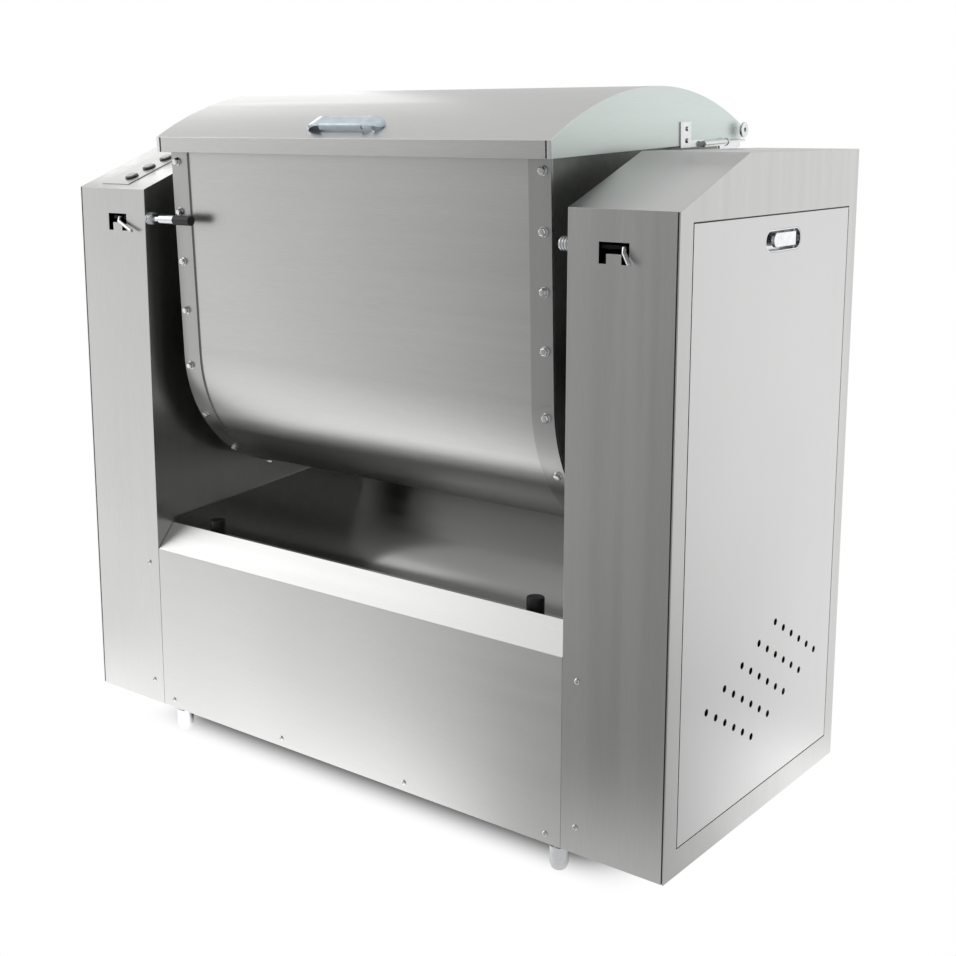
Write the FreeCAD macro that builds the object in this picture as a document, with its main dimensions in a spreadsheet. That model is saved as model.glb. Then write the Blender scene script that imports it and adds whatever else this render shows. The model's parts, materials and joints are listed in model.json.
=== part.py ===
import FreeCAD, Part
import math
import os
import re
from types import SimpleNamespace

import Sketcher

# Tilting trough dough mixer, in millimetres.
# The row frame has X to the right, Y to the rear and Z up; Z = 0 is the floor and
# the agitator shaft lies in the plane Y = 0. Fixed sheet-metal parts are drawn from the
# lower edge of the panels; trough and lid parts are drawn from the shaft's axis.

SIZES = [
    # cabinet
    ("pillar_width", 190),
    ("slope_rise", 79),
    ("slope_run", 205),
    ("crease_over_bolt", 55),
    ("sheet", 2),
    ("seam_gap", 0.5),
    ("shaft_height", 722),
    ("groove_width", 2.5),
    ("groove_depth", 1.2),
    ("groove_from_side", 2),
    # levelling feet and base frame
    ("foot_height", 55),
    ("foot_radius", 16),
    ("foot_stem_radius", 8),
    ("foot_nose", 12),
    ("foot_sleeve", 44),
    ("foot_chamfer", 3),
    ("foot_from_bay", 24),
    ("foot_inset_front", 33),
    ("rail", 40),
    ("rail_wall", 4),
    # front panel and catch basin
    ("panel_return", 12),
    ("crease_height", 322),
    ("lip_rise", 47),
    ("lip_run", 40),
    ("lip_return", 22),
    ("ledge_drop", 19),
    ("ledge_run", 50),
    ("basin_sink", 88),
    ("basin_low_offset", 40),
    ("basin_rear_gap", 16),
    ("basin_side_over_lip", 8),
    ("basin_side_rise", 42),
    ("basin_rear_over_side", 6),
    ("rear_panel_over_basin", 15),
    ("buffer_radius", 15),
    ("buffer_height", 34),
    ("buffer_from_bay", 100),
    ("screw_radius", 5),
    ("screw_head", 2.5),
    ("panel_screw_height", 16),
    ("panel_screw_inset", 30),
    ("pillar_screw_inset", 28),
    ("pillar_screw_low", 45),
    ("pillar_screw_pitch", 245),
    # side doors
    ("door_edge_front", 38),
    ("door_edge_rear", 32),
    ("door_bottom", 44),
    ("door_edge_top", 17),
    ("door_depth", 12),
    ("door_gap", 2),
    ("door_back_gap", 1.5),
    ("door_lip", 12),
    ("door_pivot", 4),
    ("door_pin_radius", 1.75),
    ("door_pin_length", 8),
    ("vent_radius", 6),
    ("vent_pitch", 31.5),
    ("vent_drop", 18.9),
    ("vent_first", 121),
    ("vent_first_height", 240),
    ("vent_row_run", 58),
    ("vent_row_rise", 21),
    ("latch_length", 125),
    ("latch_width", 36),
    ("latch_from_top", 42),
    ("latch_offset", 24.5),
    ("latch_depth", 18),
    ("latch_wall", 2),
    ("latch_fit", 0.3),
    ("paddle_length", 75),
    ("paddle_width", 23),
    ("paddle_thickness", 6),
    ("paddle_depth", 2),
    ("paddle_pin_radius", 1.5),
    # lock bolts and the slots for their levers
    ("bolt_over_shaft", 246),
    ("bolt_behind_front", 10),
    ("bolt_radius", 5.5),
    ("bolt_length", 130),
    ("bush_radius", 10),
    ("bush_length", 17),
    ("bush_seat", 12),
    ("bush_block_half", 14),
    ("bush_block_rear", 16),
    ("lever_radius", 4),
    ("lever_length", 32),
    ("slot_from_wall", 55),
    ("slot_width", 52),
    ("slot_leg", 13),
    ("slot_over_bolt", 7),
    ("slot_under_bolt", 10),
    ("slot_leg_length", 15),
    ("left_bolt_reach", 33.5),
    ("left_lever_in", 70),
    ("right_bolt_reach", 17),
    ("right_lever_in", 100.5),
    ("socket_radius", 9),
    ("socket_play", 1.5),
    ("socket_reach", 15),
    ("socket_tube", 39),
    ("socket_cap", 44),
    ("socket_lug_half", 4),
    # trough, drawn from the shaft's axis
    ("rest_tilt", 2.2),
    ("trough_radius", 256),
    ("trough_sheet", 3),
    ("trough_half_length", 430),
    ("trough_side_gap", 50),
    ("trough_front_gap", 41),
    ("trough_rim", 412),
    ("band_width", 43),
    ("band_thickness", 3),
    ("end_plate", 30),
    ("flange_bolt_inset", 15),
    ("flange_bolt_radius", 6.2),
    ("flange_bolt_head", 5.5),
    ("flange_bolt_pitch", 93),
    ("flange_bolt_over_socket", 13),
    ("flange_bolt_first_turn", 5),
    ("washer_radius", 8),
    ("washer_thickness", 1.5),
    ("trunnion_radius", 50),
    ("trunnion_shoulder", 8),
    ("trunnion_flange_radius", 95),
    ("trunnion_flange", 12),
    ("trunnion_past_wall", 78),
    ("trunnion_bush_radius", 35),
    ("running_clearance", 0.05),
    ("seal_radius", 44),
    ("bearing_flange_radius", 90),
    ("bearing_flange", 12),
    ("bearing_hub_radius", 74),
    ("bearing_nose_radius", 70),
    ("bearing_length", 46),
    # lid, drawn from the shaft's axis
    ("lid_overhang", 15),
    ("lid_front_gap", 20),
    ("lid_rear_gap", 54),
    ("lid_overlap", 30.5),
    ("lid_edge_drop", 3),
    ("lid_rise", 73.5),
    ("lid_sheet", 2),
    ("handle_half", 86),
    ("handle_rise", 20),
    ("handle_wall", 5),
    ("handle_width", 30),
    ("handle_shoulder", 36),
    ("handle_knee", 12),
    ("handle_foot", 3),
    ("handle_lip", 3),
    ("handle_lip_gap", 4),
    ("handle_from_front", 36),
    ("pad_length", 40),
    ("pad_width", 12),
    ("pad_from_end", 130),
    ("pad_gap", 0.3),
    ("hinge_behind_lid", 14.3),
    ("hinge_over_edge", 11.5),
    ("hinge_radius", 9),
    ("hinge_pin_radius", 5),
    ("hinge_pin_end", 2),
    ("hinge_from_end", 20),
    ("hinge_half", 13),
    ("hinge_cheek", 8),
    ("hinge_gap", 0.5),
    ("hinge_plate_half", 4),
    ("hinge_arm_drop", 3.5),
    ("hinge_arm_height", 40),
    ("rod_from_side", 159),
    ("rod_plate_length", 35),
    ("rod_plate_height", 40),
    ("rod_arm_length", 44),
    ("rod_arm_height", 8),
    ("rod_plate_drop", 4),
    ("rod_screw_radius", 4),
    ("rod_screw_pitch", 20),
    ("rod_radius", 5.5),
    ("rod_length", 81),
    ("rod_offset", 1),
    ("rod_collar_radius", 6.5),
    ("rod_collar", 4),
    ("rod_tail_radius", 2.5),
    ("rod_tail", 65),
    # agitator
    ("shaft_radius", 30),
    ("shaft_chamfer", 3),
    ("shaft_past_end", 6),
    ("blade_gap", 17),
    ("blade_radius", 14),
    ("blade_end_gap", 30),
    ("hub_radius", 48),
    ("hub_length", 44),
    ("arm_width", 34),
    ("arm_thickness", 20),
    # drive
    ("gear_module", 6),
    ("gear_teeth", 60),
    ("pinion_teeth", 14),
    ("gear_face", 40),
    ("gear_from_wall", 110),
    ("backlash", 0.5),
    ("countershaft_radius", 17),
    ("countershaft_hub_radius", 40),
    ("countershaft_flange_radius", 62),
    ("countershaft_past_gear", 4),
    ("pulley_from_wall", 82),
    ("pulley_gap", 4),
    ("pulley_width", 24),
    ("large_pulley_radius", 130),
    ("small_pulley_radius", 40),
    ("belt_depth", 8),
    ("belt_width", 8),
    ("belt_pitch", 11),
    ("groove_spare", 1),
    ("motor_shaft_radius", 14),
    ("motor_shaft_seat", 30),
    ("motor_gap", 5),
    ("motor_radius", 84),
    ("motor_from_wall", 40),
    ("motor_length", 290),
    ("motor_cowl", 50),
    ("motor_cowl_step", 6),
    ("motor_bell", 40),
    ("motor_bell_step", 4),
    ("motor_cone", 12),
    ("motor_cone_step", 40),
    ("motor_core_step", 10),
    ("rib_width", 2.4),
    ("rib_height", 10),
    ("saddle_inset", 80),
    ("saddle_half", 12),
    ("saddle_half_width", 70),
    ("saddle_wrap", 64),
    ("bracket_plate", 6),
    ("case_depth", 110),
    ("case_half", 130),
    ("case_from_shaft", 132),
    ("case_height", 260),
    # controls
    ("plate_from_front", 19),
    ("plate_run", 158),
    ("plate_width", 79),
    ("plate_from_side", 46),
    ("plate_thickness", 1.5),
    ("button_radius", 13),
    ("button_height", 5),
    ("button_stand", 5),
    ("button_floor", 0.5),
    ("button_seat", 4.8),
    ("button_ring", 3),
    ("button_pitch", 46.6),
    ("button_first", 52),
    ("button_row", 52),
    ("button_fit", 0.3),
]
NAMES = {name for name, value in SIZES}

# Places that follow from several sizes, each a sum of them.
SUMS = {
    "trough_outer": ("trough_radius", "trough_sheet"),
    "band_outer": ("trough_outer", "band_thickness"),
    "half_depth": ("band_outer", "trough_front_gap"),
    "bay": ("trough_half_length", "trough_side_gap"),
    "half_width": ("bay", "pillar_width"),
    "bolt_height": ("shaft_height", "bolt_over_shaft"),
    "front_height": ("bolt_height", "crease_over_bolt"),
    "top_height": ("front_height", "slope_rise"),
    "door_top": ("front_height", "-door_edge_top"),
    "latch_height": ("door_top", "-latch_from_top"),
    "slot_top": ("bolt_height", "slot_over_bolt"),
    "slot_bar": ("bolt_height", "-slot_under_bolt"),
    "slot_bottom": ("slot_bar", "-slot_leg_length"),
    "slot_start": ("bay", "slot_from_wall"),
    "left_bolt_tip": ("bay", "-left_bolt_reach"),
    "left_lever": ("bay", "left_lever_in"),
    "right_bolt_tip": ("bay", "-right_bolt_reach"),
    "right_lever": ("bay", "right_lever_in"),
    "foot_side": ("bay", "-foot_from_bay"),
    "lip_height": ("crease_height", "lip_rise"),
    "ledge_height": ("lip_height", "-ledge_drop"),
    "basin_bottom": ("ledge_height", "-basin_sink"),
    "basin_side_front": ("lip_height", "basin_side_over_lip"),
    "basin_side_rear": ("basin_side_front", "basin_side_rise"),
    "basin_rear_height": ("basin_side_rear", "basin_rear_over_side"),
    "rear_panel_height": ("basin_rear_height", "rear_panel_over_basin"),
    "buffer_spread": ("bay", "-buffer_from_bay"),
    "trunnion_end": ("bay", "trunnion_past_wall"),
    "lid_low": ("trough_rim", "-lid_overlap"),
    "lid_edge": ("trough_rim", "-lid_edge_drop"),
    "lid_crown": ("lid_edge", "lid_rise"),
    "lid_front": ("band_outer", "lid_front_gap"),
    "lid_rear": ("band_outer", "lid_rear_gap"),
    "lid_half_length": ("trough_half_length", "lid_overhang"),
    "handle_from_axis": ("lid_front", "-handle_from_front"),
    "pad_spread": ("trough_half_length", "-pad_from_end"),
    "hinge_from_axis": ("lid_rear", "hinge_behind_lid"),
    "rod_plate_start": ("trough_radius", "-rod_from_side"),
    "hinge_height": ("lid_low", "hinge_over_edge"),
    "hinge_centre": ("trough_half_length", "-hinge_from_end"),
    "blade_circle": ("trough_radius", "-blade_gap", "-blade_radius"),
    "blade_half_length": ("trough_half_length", "-end_plate", "-blade_end_gap"),
    "gear_start": ("bay", "gear_from_wall"),
    "pulley_start": ("bay", "pulley_from_wall"),
    "case_high": ("shaft_height", "-case_from_shaft"),
    "motor_end": ("bay", "-motor_from_wall"),
    "motor_start": ("motor_end", "-motor_length"),
    "motor_height": ("rail", "bracket_plate", "motor_gap", "motor_radius"),
}
s = SimpleNamespace(**dict(SIZES))

doc = FreeCAD.newDocument("DoughMixer")
sheet = doc.addObject("Spreadsheet::Sheet", "Sizes")
for line, (size_name, size_value) in enumerate(SIZES, 1):
    sheet.set("A%d" % line, size_name)
    sheet.set("B%d" % line, str(size_value))
    sheet.setAlias("B%d" % line, size_name)
doc.recompute()

for size_name, terms in SUMS.items():
    setattr(s, size_name, sum(-getattr(s, term[1:]) if term[0] == "-" else getattr(s, term)
                              for term in terms))

# Values that several parts share.
SLOPE = math.atan2(s.slope_rise, s.slope_run)
REST_TILT = math.radians(s.rest_tilt)
BOLT_Y = s.bolt_behind_front - s.half_depth
SOCKET_Y = BOLT_Y * math.cos(REST_TILT) + s.bolt_over_shaft * math.sin(REST_TILT)
SOCKET_Z = s.bolt_over_shaft * math.cos(REST_TILT) - BOLT_Y * math.sin(REST_TILT)
COUNTERSHAFT_DROP = s.gear_module * (s.gear_teeth + s.pinion_teeth) / 2
SIDES = (("left", -1), ("right", 1))

nodes = []


def formula(text):
    """Turn a sum of named sizes into an expression on the sheet."""
    def cell(word):
        name = word.group()
        if name in SUMS:
            return "(" + " + ".join("(%s)" % formula(term) for term in SUMS[name]) + ")"
        return "Sizes." + name if name in NAMES else name
    return re.sub("[a-z][a-z_]*", cell, str(text))


def vector(x, y, z):
    return FreeCAD.Vector(x, y, z)


def move(item, x=0, y=0, z=0):
    """Bind the place of an object to the sheet."""
    for axis, text in zip("xyz", (x, y, z)):
        item.setExpression("Placement.Base." + axis, formula(text))


def node(item, label):
    """Take an object as one finished piece, under its own name."""
    item.Label = label
    nodes.append(item)
    return item


def fixed(item, label):
    """A piece of the cabinet: its zero height is the lower edge of the panels."""
    move(item, z="foot_height")
    return node(item, label)


def on_trough(item, label):
    """A piece that tilts with the trough: its zero is the shaft's axis."""
    move(item, z="foot_height + shaft_height")
    item.Placement.Rotation = FreeCAD.Rotation(vector(1, 0, 0), s.rest_tilt)
    return node(item, label)


def on_shaft(item, label):
    """A piece that turns with the agitator, drawn about its axis."""
    move(item, z="foot_height + shaft_height")
    return node(item, label)


def box(name, x, y, z):
    """A block between pairs of sums of named sizes."""
    item = doc.addObject("Part::Box", name)
    for prop, (low, high) in zip(("Length", "Width", "Height"), (x, y, z)):
        item.setExpression(prop, formula("(%s) - (%s)" % (high, low)))
    move(item, x[0], y[0], z[0])
    return item


TURNS = {
    "x": FreeCAD.Rotation(vector(0, 1, 0), 90),
    "y": FreeCAD.Rotation(vector(1, 0, 0), -90),
    "z": FreeCAD.Rotation(),
}


def rod(name, along, radius, low, high, first=0, second=0):
    """A round bar along one axis; first and second place it on the other two."""
    item = doc.addObject("Part::Cylinder", name)
    item.setExpression("Radius", formula(radius))
    item.setExpression("Height", formula("(%s) - (%s)" % (high, low)))
    item.Placement.Rotation = TURNS[along]
    place = {"x": (low, first, second), "y": (first, low, second), "z": (first, second, low)}
    move(item, *place[along])
    return item


def join(name, parts):
    item = doc.addObject("Part::MultiFuse", name)
    item.Shapes = parts
    return item


def group(name, parts):
    item = doc.addObject("Part::Compound", name)
    item.Links = parts
    return item


def cut(name, base, *tools):
    item = doc.addObject("Part::Cut", name)
    item.Base = base
    item.Tool = tools[0] if len(tools) == 1 else join(name + "_tools", list(tools))
    return item


def tube(name, along, outer, inner, low, high, first=0, second=0):
    """A round sleeve along one axis."""
    return cut(name, rod(name + "_outside", along, outer, low, high, first, second),
               rod(name + "_bore", along, inner, "%s - 1" % low, "%s + 1" % high, first, second))


def body(name):
    return doc.addObject("PartDesign::Body", name)


def lines(points):
    """Closed chain of straight lines through points."""
    corners = [vector(x, y, 0) for x, y in points]
    return [Part.LineSegment(a, b) for a, b in zip(corners, corners[1:] + corners[:1])]


def rectangle(x_low, x_high, y_low, y_high):
    return lines([(x_low, y_low), (x_high, y_low), (x_high, y_high), (x_low, y_high)])


def circle(x, y, radius):
    return [Part.Circle(vector(x, y, 0), vector(0, 0, 1), radius)]


def arc(start, middle, end):
    return Part.Arc(vector(*start, 0), vector(*middle, 0), vector(*end, 0))


def line(start, end):
    return Part.LineSegment(vector(*start, 0), vector(*end, 0))


def stadium(x, y, length, width):
    """Slot outline with round ends, long along the sketch's first axis."""
    reach = (length - width) / 2
    top = y + width / 2
    low = y - width / 2
    return [line((x - reach, low), (x + reach, low)),
            arc((x + reach, low), (x + length / 2, y), (x + reach, top)),
            line((x + reach, top), (x - reach, top)),
            arc((x - reach, top), (x - length / 2, y), (x - reach, low))]


def sketch(owner, plane, offset, *loops):
    """A sketch on one of the body's own planes, set off along its normal."""
    item = owner.newObject("Sketcher::SketchObject", owner.Name + "_sketch")
    support = [part for part in owner.Origin.OriginFeatures if part.Role == plane][0]
    item.AttachmentSupport = (support, [""])
    item.MapMode = "FlatFace"
    item.setExpression("AttachmentOffset.Base.z", formula(offset))
    for loop in loops:
        first = item.GeometryCount
        item.addGeometry(loop, False)
        for index in range(len(loop) if len(loop) > 1 else 0):
            one = first + index
            other = first + (index + 1) % len(loop)
            for ends in ((2, 1), (1, 1), (2, 2), (1, 2)):
                gap = item.getPoint(one, ends[0]) - item.getPoint(other, ends[1])
                if gap.Length < 0.000001:
                    item.addConstraint(Sketcher.Constraint("Coincident", one, ends[0], other, ends[1]))
                    break
    return item


def pad(owner, profile, length):
    item = owner.newObject("PartDesign::Pad", owner.Name + "_pad")
    item.Profile = profile
    item.setExpression("Length", formula(length))
    return item


def pocket(owner, profile, length, along_normal=False):
    """Cut a profile into the body, against the sketch's normal unless told otherwise."""
    item = owner.newObject("PartDesign::Pocket", owner.Name + "_pocket")
    item.Profile = profile
    item.Reversed = along_normal
    item.setExpression("Length", formula(length))
    return item


def turned(name, points):
    """A turned piece about the X axis; points are (x, radius) pairs of its half section."""
    owner = body(name)
    profile = sketch(owner, "XY_Plane", 0, lines(points))
    item = owner.newObject("PartDesign::Revolution", name + "_turn")
    item.Profile = profile
    item.ReferenceAxis = (profile, ["H_Axis"])
    item.Angle = 360
    return owner


def folded(path, thickness):
    """Outline of a folded sheet: the path is its outer side, the sheet lies to its right."""
    normals = []
    for (x_one, y_one), (x_two, y_two) in zip(path, path[1:]):
        run = math.hypot(x_two - x_one, y_two - y_one)
        normals.append(((y_two - y_one) / run, (x_one - x_two) / run))
    inner = []
    for index, (x, y) in enumerate(path):
        before = normals[max(index - 1, 0)]
        after = normals[min(index, len(normals) - 1)]
        across = 1 + before[0] * after[0] + before[1] * after[1]
        inner.append((x + thickness * (before[0] + after[0]) / across,
                      y + thickness * (before[1] + after[1]) / across))
    return lines(path + inner[::-1])


def slope_point(run, rise=0):
    """Point of the pillar's slope: run along it from the front edge, rise off its face."""
    y = -s.half_depth + run * math.cos(SLOPE) - rise * math.sin(SLOPE)
    return y, s.front_height + run * math.sin(SLOPE) + rise * math.cos(SLOPE)


def side_profile(inset):
    """Side view of a pillar, set in by a wall all round."""
    front = -s.half_depth + inset
    drop = inset / math.cos(SLOPE)
    rise = math.tan(SLOPE)
    top = s.top_height - inset
    low_corner = s.front_height + inset * rise - drop
    high_corner = -s.half_depth + (top - s.front_height + drop) / rise
    return lines([(front, inset), (front, low_corner), (high_corner, top),
                  (s.half_depth - inset, top), (s.half_depth - inset, inset)])


def door_outline(inset, bottom_inset):
    """The door opening, or the door, seen from the side."""
    return rectangle(-s.half_depth + s.door_edge_front + inset, s.half_depth - s.door_edge_rear - inset,
                     s.door_bottom + bottom_inset, s.door_top - inset)


def pillar_shell(side, sign):
    """Folded pillar casing with the door's rebate, the lever slot and the shaft holes."""
    owner = body(side + "_pillar_shell")
    start = "bay" if sign > 0 else "-half_width"
    pad(owner, sketch(owner, "YZ_Plane", start, side_profile(0)), "pillar_width")
    pocket(owner, sketch(owner, "YZ_Plane", start + " + pillar_width - sheet", side_profile(s.sheet)),
           "pillar_width - 2 * sheet")
    rebate = "door_depth + door_back_gap"
    ring_start = "half_width - sheet - door_depth - door_back_gap"
    outer_face = "half_width"
    if sign < 0:
        ring_start = "sheet - half_width"
        outer_face = "-half_width"
    pad(owner, sketch(owner, "YZ_Plane", ring_start, door_outline(-s.sheet, -s.sheet),
                      door_outline(s.door_lip, 0)), rebate)
    pocket(owner, sketch(owner, "YZ_Plane", outer_face, door_outline(0, 0)), rebate, sign < 0)
    holes = [circle(0, s.shaft_height, s.trunnion_radius + s.sheet),
             circle(BOLT_Y, s.bolt_height, s.bolt_radius + s.running_clearance)]
    if sign > 0:
        holes.append(circle(0, s.motor_height, s.motor_shaft_radius + s.sheet))
    inner_wall = "bay + sheet" if sign > 0 else "-bay"
    pocket(owner, sketch(owner, "YZ_Plane", inner_wall, *holes), "sheet")
    near = s.slot_start
    far = near + s.slot_width
    slot = [(near, s.slot_bottom), (near, s.slot_top), (far, s.slot_top), (far, s.slot_bottom),
            (far - s.slot_leg, s.slot_bottom), (far - s.slot_leg, s.slot_bar),
            (near + s.slot_leg, s.slot_bar), (near + s.slot_leg, s.slot_bottom)]
    pocket(owner, sketch(owner, "XZ_Plane", "half_depth", lines([(sign * x, z) for x, z in slot])),
           "sheet")
    groove = sign * (s.half_width - s.groove_from_side)
    near, far = sorted((groove, groove - sign * s.groove_width))
    pocket(owner, sketch(owner, "XZ_Plane", "half_depth", rectangle(near, far, 0, s.front_height)),
           "groove_depth")
    fixed(owner, side + "_pillar_shell")


def side_door(side, sign):
    """Pan-shaped door with its vents, its latch opening and the holes for its pivot pins."""
    owner = body(side + "_side_door")
    outer = "half_width - door_depth" if sign > 0 else "-half_width"
    inner = "half_width - door_depth" if sign > 0 else "door_depth - half_width"
    face = "half_width" if sign > 0 else "-half_width"
    pad(owner, sketch(owner, "YZ_Plane", outer, door_outline(s.door_gap, s.door_gap)), "door_depth")
    edge = s.door_gap + s.sheet
    pocket(owner, sketch(owner, "YZ_Plane", inner, door_outline(edge, edge)), "door_depth - sheet", sign > 0)
    rows, columns = 5, 6
    holes = [stadium(s.latch_offset, s.latch_height, s.latch_length, s.latch_width)]
    for row in range(rows):
        for column in range(columns):
            y = s.vent_first - s.half_depth + row * s.vent_row_run + column * s.vent_pitch
            z = s.vent_first_height + row * s.vent_row_rise - column * s.vent_drop
            holes.append(circle(y, z, s.vent_radius))
    pocket(owner, sketch(owner, "YZ_Plane", face, *holes), "sheet", sign < 0)
    pin_x = sign * (s.half_width - s.door_pivot)
    pin_z = s.door_bottom + s.door_gap + s.door_pivot
    pin_hole = circle(pin_x, pin_z, s.door_pin_radius + s.running_clearance)
    pocket(owner, sketch(owner, "XZ_Plane", "half_depth", pin_hole), "2 * half_depth")
    fixed(owner, side + "_side_door")


def latch(side, sign):
    """Recessed latch: a cup in the door and a paddle that swings out of it."""
    owner = body(side + "_latch_tray")
    face = "half_width" if sign > 0 else "-half_width"
    back = "half_width - latch_depth" if sign > 0 else face
    fit = 2 * s.latch_fit
    pad(owner, sketch(owner, "YZ_Plane", back, stadium(s.latch_offset, s.latch_height,
                                                      s.latch_length - fit, s.latch_width - fit)),
        "latch_depth")
    hollow = fit + 2 * s.latch_wall
    pocket(owner, sketch(owner, "YZ_Plane", face, stadium(s.latch_offset, s.latch_height,
                                                         s.latch_length - hollow, s.latch_width - hollow)),
           "latch_depth - latch_wall", sign < 0)
    pivot_y = s.latch_offset + (s.latch_length - s.latch_width) / 2 + s.paddle_pin_radius
    pivot_x = sign * (s.half_width - s.paddle_depth - s.paddle_thickness / 2)
    pin = rod(side + "_latch_pin", "z", "paddle_pin_radius", "latch_height - latch_width / 2 + latch_wall / 2",
              "latch_height + latch_width / 2 - latch_wall / 2", pivot_x, pivot_y)
    fixed(join(side + "_latch_cup", [owner, pin]), side + "_latch_cup")
    half = s.paddle_width / 2
    rear = pivot_y + s.paddle_thickness / 2
    turn = pivot_y - s.paddle_length + half
    outline = [line((rear, s.latch_height - half), (rear, s.latch_height + half)),
               line((rear, s.latch_height + half), (turn, s.latch_height + half)),
               arc((turn, s.latch_height + half), (turn - half, s.latch_height), (turn, s.latch_height - half)),
               line((turn, s.latch_height - half), (rear, s.latch_height - half))]
    paddle = body(side + "_latch_paddle")
    pad(paddle, sketch(paddle, "YZ_Plane", pivot_x - s.paddle_thickness / 2, outline), "paddle_thickness")
    bore = circle(pivot_x, pivot_y, s.paddle_pin_radius + s.running_clearance)
    pocket(paddle, sketch(paddle, "XY_Plane", "latch_height + latch_width / 2", bore), "latch_width")
    fixed(paddle, side + "_latch_paddle")


def door_pivot_pins():
    pins = []
    for side, sign in SIDES:
        x = "%d * (half_width - door_pivot)" % sign
        z = "door_bottom + door_gap + door_pivot"
        pins.append(rod(side + "_front_pin", "y", "door_pin_radius", "door_edge_front - half_depth",
                        "door_edge_front - half_depth + door_pin_length", x, z))
        pins.append(rod(side + "_rear_pin", "y", "door_pin_radius",
                        "half_depth - door_edge_rear - door_pin_length", "half_depth - door_edge_rear", x, z))
    fixed(group("door_pivot_pins", pins), "door_pivot_pins")


def base_frame():
    """Welded frame of square tube between the pillars."""
    edge = "bay"
    tubes = []
    for name, low in (("front", "foot_inset_front - rail / 2 - half_depth"),
                      ("rear", "half_depth - foot_inset_front - rail / 2")):
        outside = box(name + "_rail_outside", ("-(%s)" % edge, edge), (low, low + " + rail"), (0, "rail"))
        inside = box(name + "_rail_inside", ("-(%s)" % edge, edge),
                     (low + " + rail_wall", low + " + rail - rail_wall"), ("rail_wall", "rail - rail_wall"))
        tubes.append(cut(name + "_rail", outside, inside))
    cross_low = "foot_inset_front + rail / 2 - half_depth"
    cross_high = "half_depth - foot_inset_front - rail / 2"
    for name, x in (("left", "-foot_side"), ("middle", "0"), ("right", "foot_side")):
        tubes.append(box(name + "_cross_rail", (x + " - rail / 2", x + " + rail / 2"),
                         (cross_low, cross_high), (0, "rail")))
    fixed(join("base_frame", tubes), "base_frame")


def levelling_feet():
    """Four bullet feet: a threaded stem and a round-nosed sleeve."""
    edge = s.foot_radius - s.foot_chamfer
    foot = turned("foot_pattern", [
        (0, 0), (0, edge - s.foot_chamfer), (s.foot_chamfer, edge), (s.foot_nose, s.foot_radius),
        (s.foot_sleeve - s.foot_chamfer, s.foot_radius), (s.foot_sleeve, edge),
        (s.foot_sleeve, s.foot_stem_radius), (s.foot_height, s.foot_stem_radius), (s.foot_height, 0)])
    feet = []
    for x in (-s.foot_side, s.foot_side):
        for y in (s.foot_inset_front - s.half_depth, s.half_depth - s.foot_inset_front):
            copy = doc.addObject("Part::Feature", "foot_copy")
            doc.recompute()
            copy.Shape = foot.Shape
            copy.Placement = FreeCAD.Placement(vector(x, y, 0), FreeCAD.Rotation(vector(0, 1, 0), -90))
            feet.append(copy)
    node(group("levelling_feet", feet), "levelling_feet")


def front_panel():
    """Front panel with its sloping shelf and the lip over the basin."""
    front = -s.half_depth
    path = [(front + s.panel_return, 0), (front, 0), (front, s.crease_height), (front + s.lip_run, s.lip_height),
            (front + s.lip_run, s.lip_height - s.lip_return)]
    owner = body("front_panel")
    pad(owner, sketch(owner, "YZ_Plane", "seam_gap - bay",
                      folded(path, s.sheet)), "2 * bay - 2 * seam_gap")
    fixed(owner, "front_panel")


def catch_basin():
    """Hollow tray under the trough with a ledge for the rubber buffers and two side walls."""
    front = -s.half_depth + s.lip_run + s.seam_gap
    ledge_end = front + s.ledge_run
    rear = s.half_depth - s.basin_rear_gap
    low = s.basin_bottom
    middle = (ledge_end + rear) / 2 - s.basin_low_offset
    top = s.lip_height - s.sheet
    t = s.sheet
    outline = [line((front, top), (front + t, top)), line((front + t, top), (front + t, s.ledge_height)),
               line((front + t, s.ledge_height), (ledge_end, s.ledge_height)),
               arc((ledge_end, s.ledge_height), (middle, low), (rear, s.basin_rear_height)),
               line((rear, s.basin_rear_height), (rear + t, s.basin_rear_height - t)),
               arc((rear + t, s.basin_rear_height - t), (middle, low - t), (ledge_end, s.ledge_height - t)),
               line((ledge_end, s.ledge_height - t), (front, s.ledge_height - t)),
               line((front, s.ledge_height - t), (front, top))]
    owner = body("catch_basin")
    pad(owner, sketch(owner, "YZ_Plane", "seam_gap - bay", outline),
        "2 * bay - 2 * seam_gap")
    wall = [line((front, s.basin_side_front), (rear + t, s.basin_side_rear)),
            line((rear + t, s.basin_side_rear), (rear + t, s.basin_rear_height - t)),
            arc((rear + t, s.basin_rear_height - t), (middle, low - t), (ledge_end, s.ledge_height - t)),
            line((ledge_end, s.ledge_height - t), (front, s.ledge_height - t)),
            line((front, s.ledge_height - t), (front, s.basin_side_front))]
    for start in ("seam_gap - bay",
                  "bay - seam_gap - sheet"):
        pad(owner, sketch(owner, "YZ_Plane", start, wall), "sheet")
    fixed(owner, "catch_basin")


def rear_panel():
    edge = "bay - seam_gap"
    panel = box("rear_panel_sheet", ("-(%s)" % edge, edge), ("half_depth - sheet", "half_depth"),
                (0, "rear_panel_height"))
    fixed(group("rear_panel", [panel]), "rear_panel")


def basin_buffers():
    y = s.lip_run + s.seam_gap + s.ledge_run / 2 + s.sheet - s.half_depth
    buffers = []
    for side, sign in SIDES:
        buffers.append(rod(side + "_buffer", "z", "buffer_radius", "ledge_height",
                           "ledge_height + buffer_height", "%d * buffer_spread" % sign, y))
    fixed(group("basin_buffers", buffers), "basin_buffers")


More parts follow.
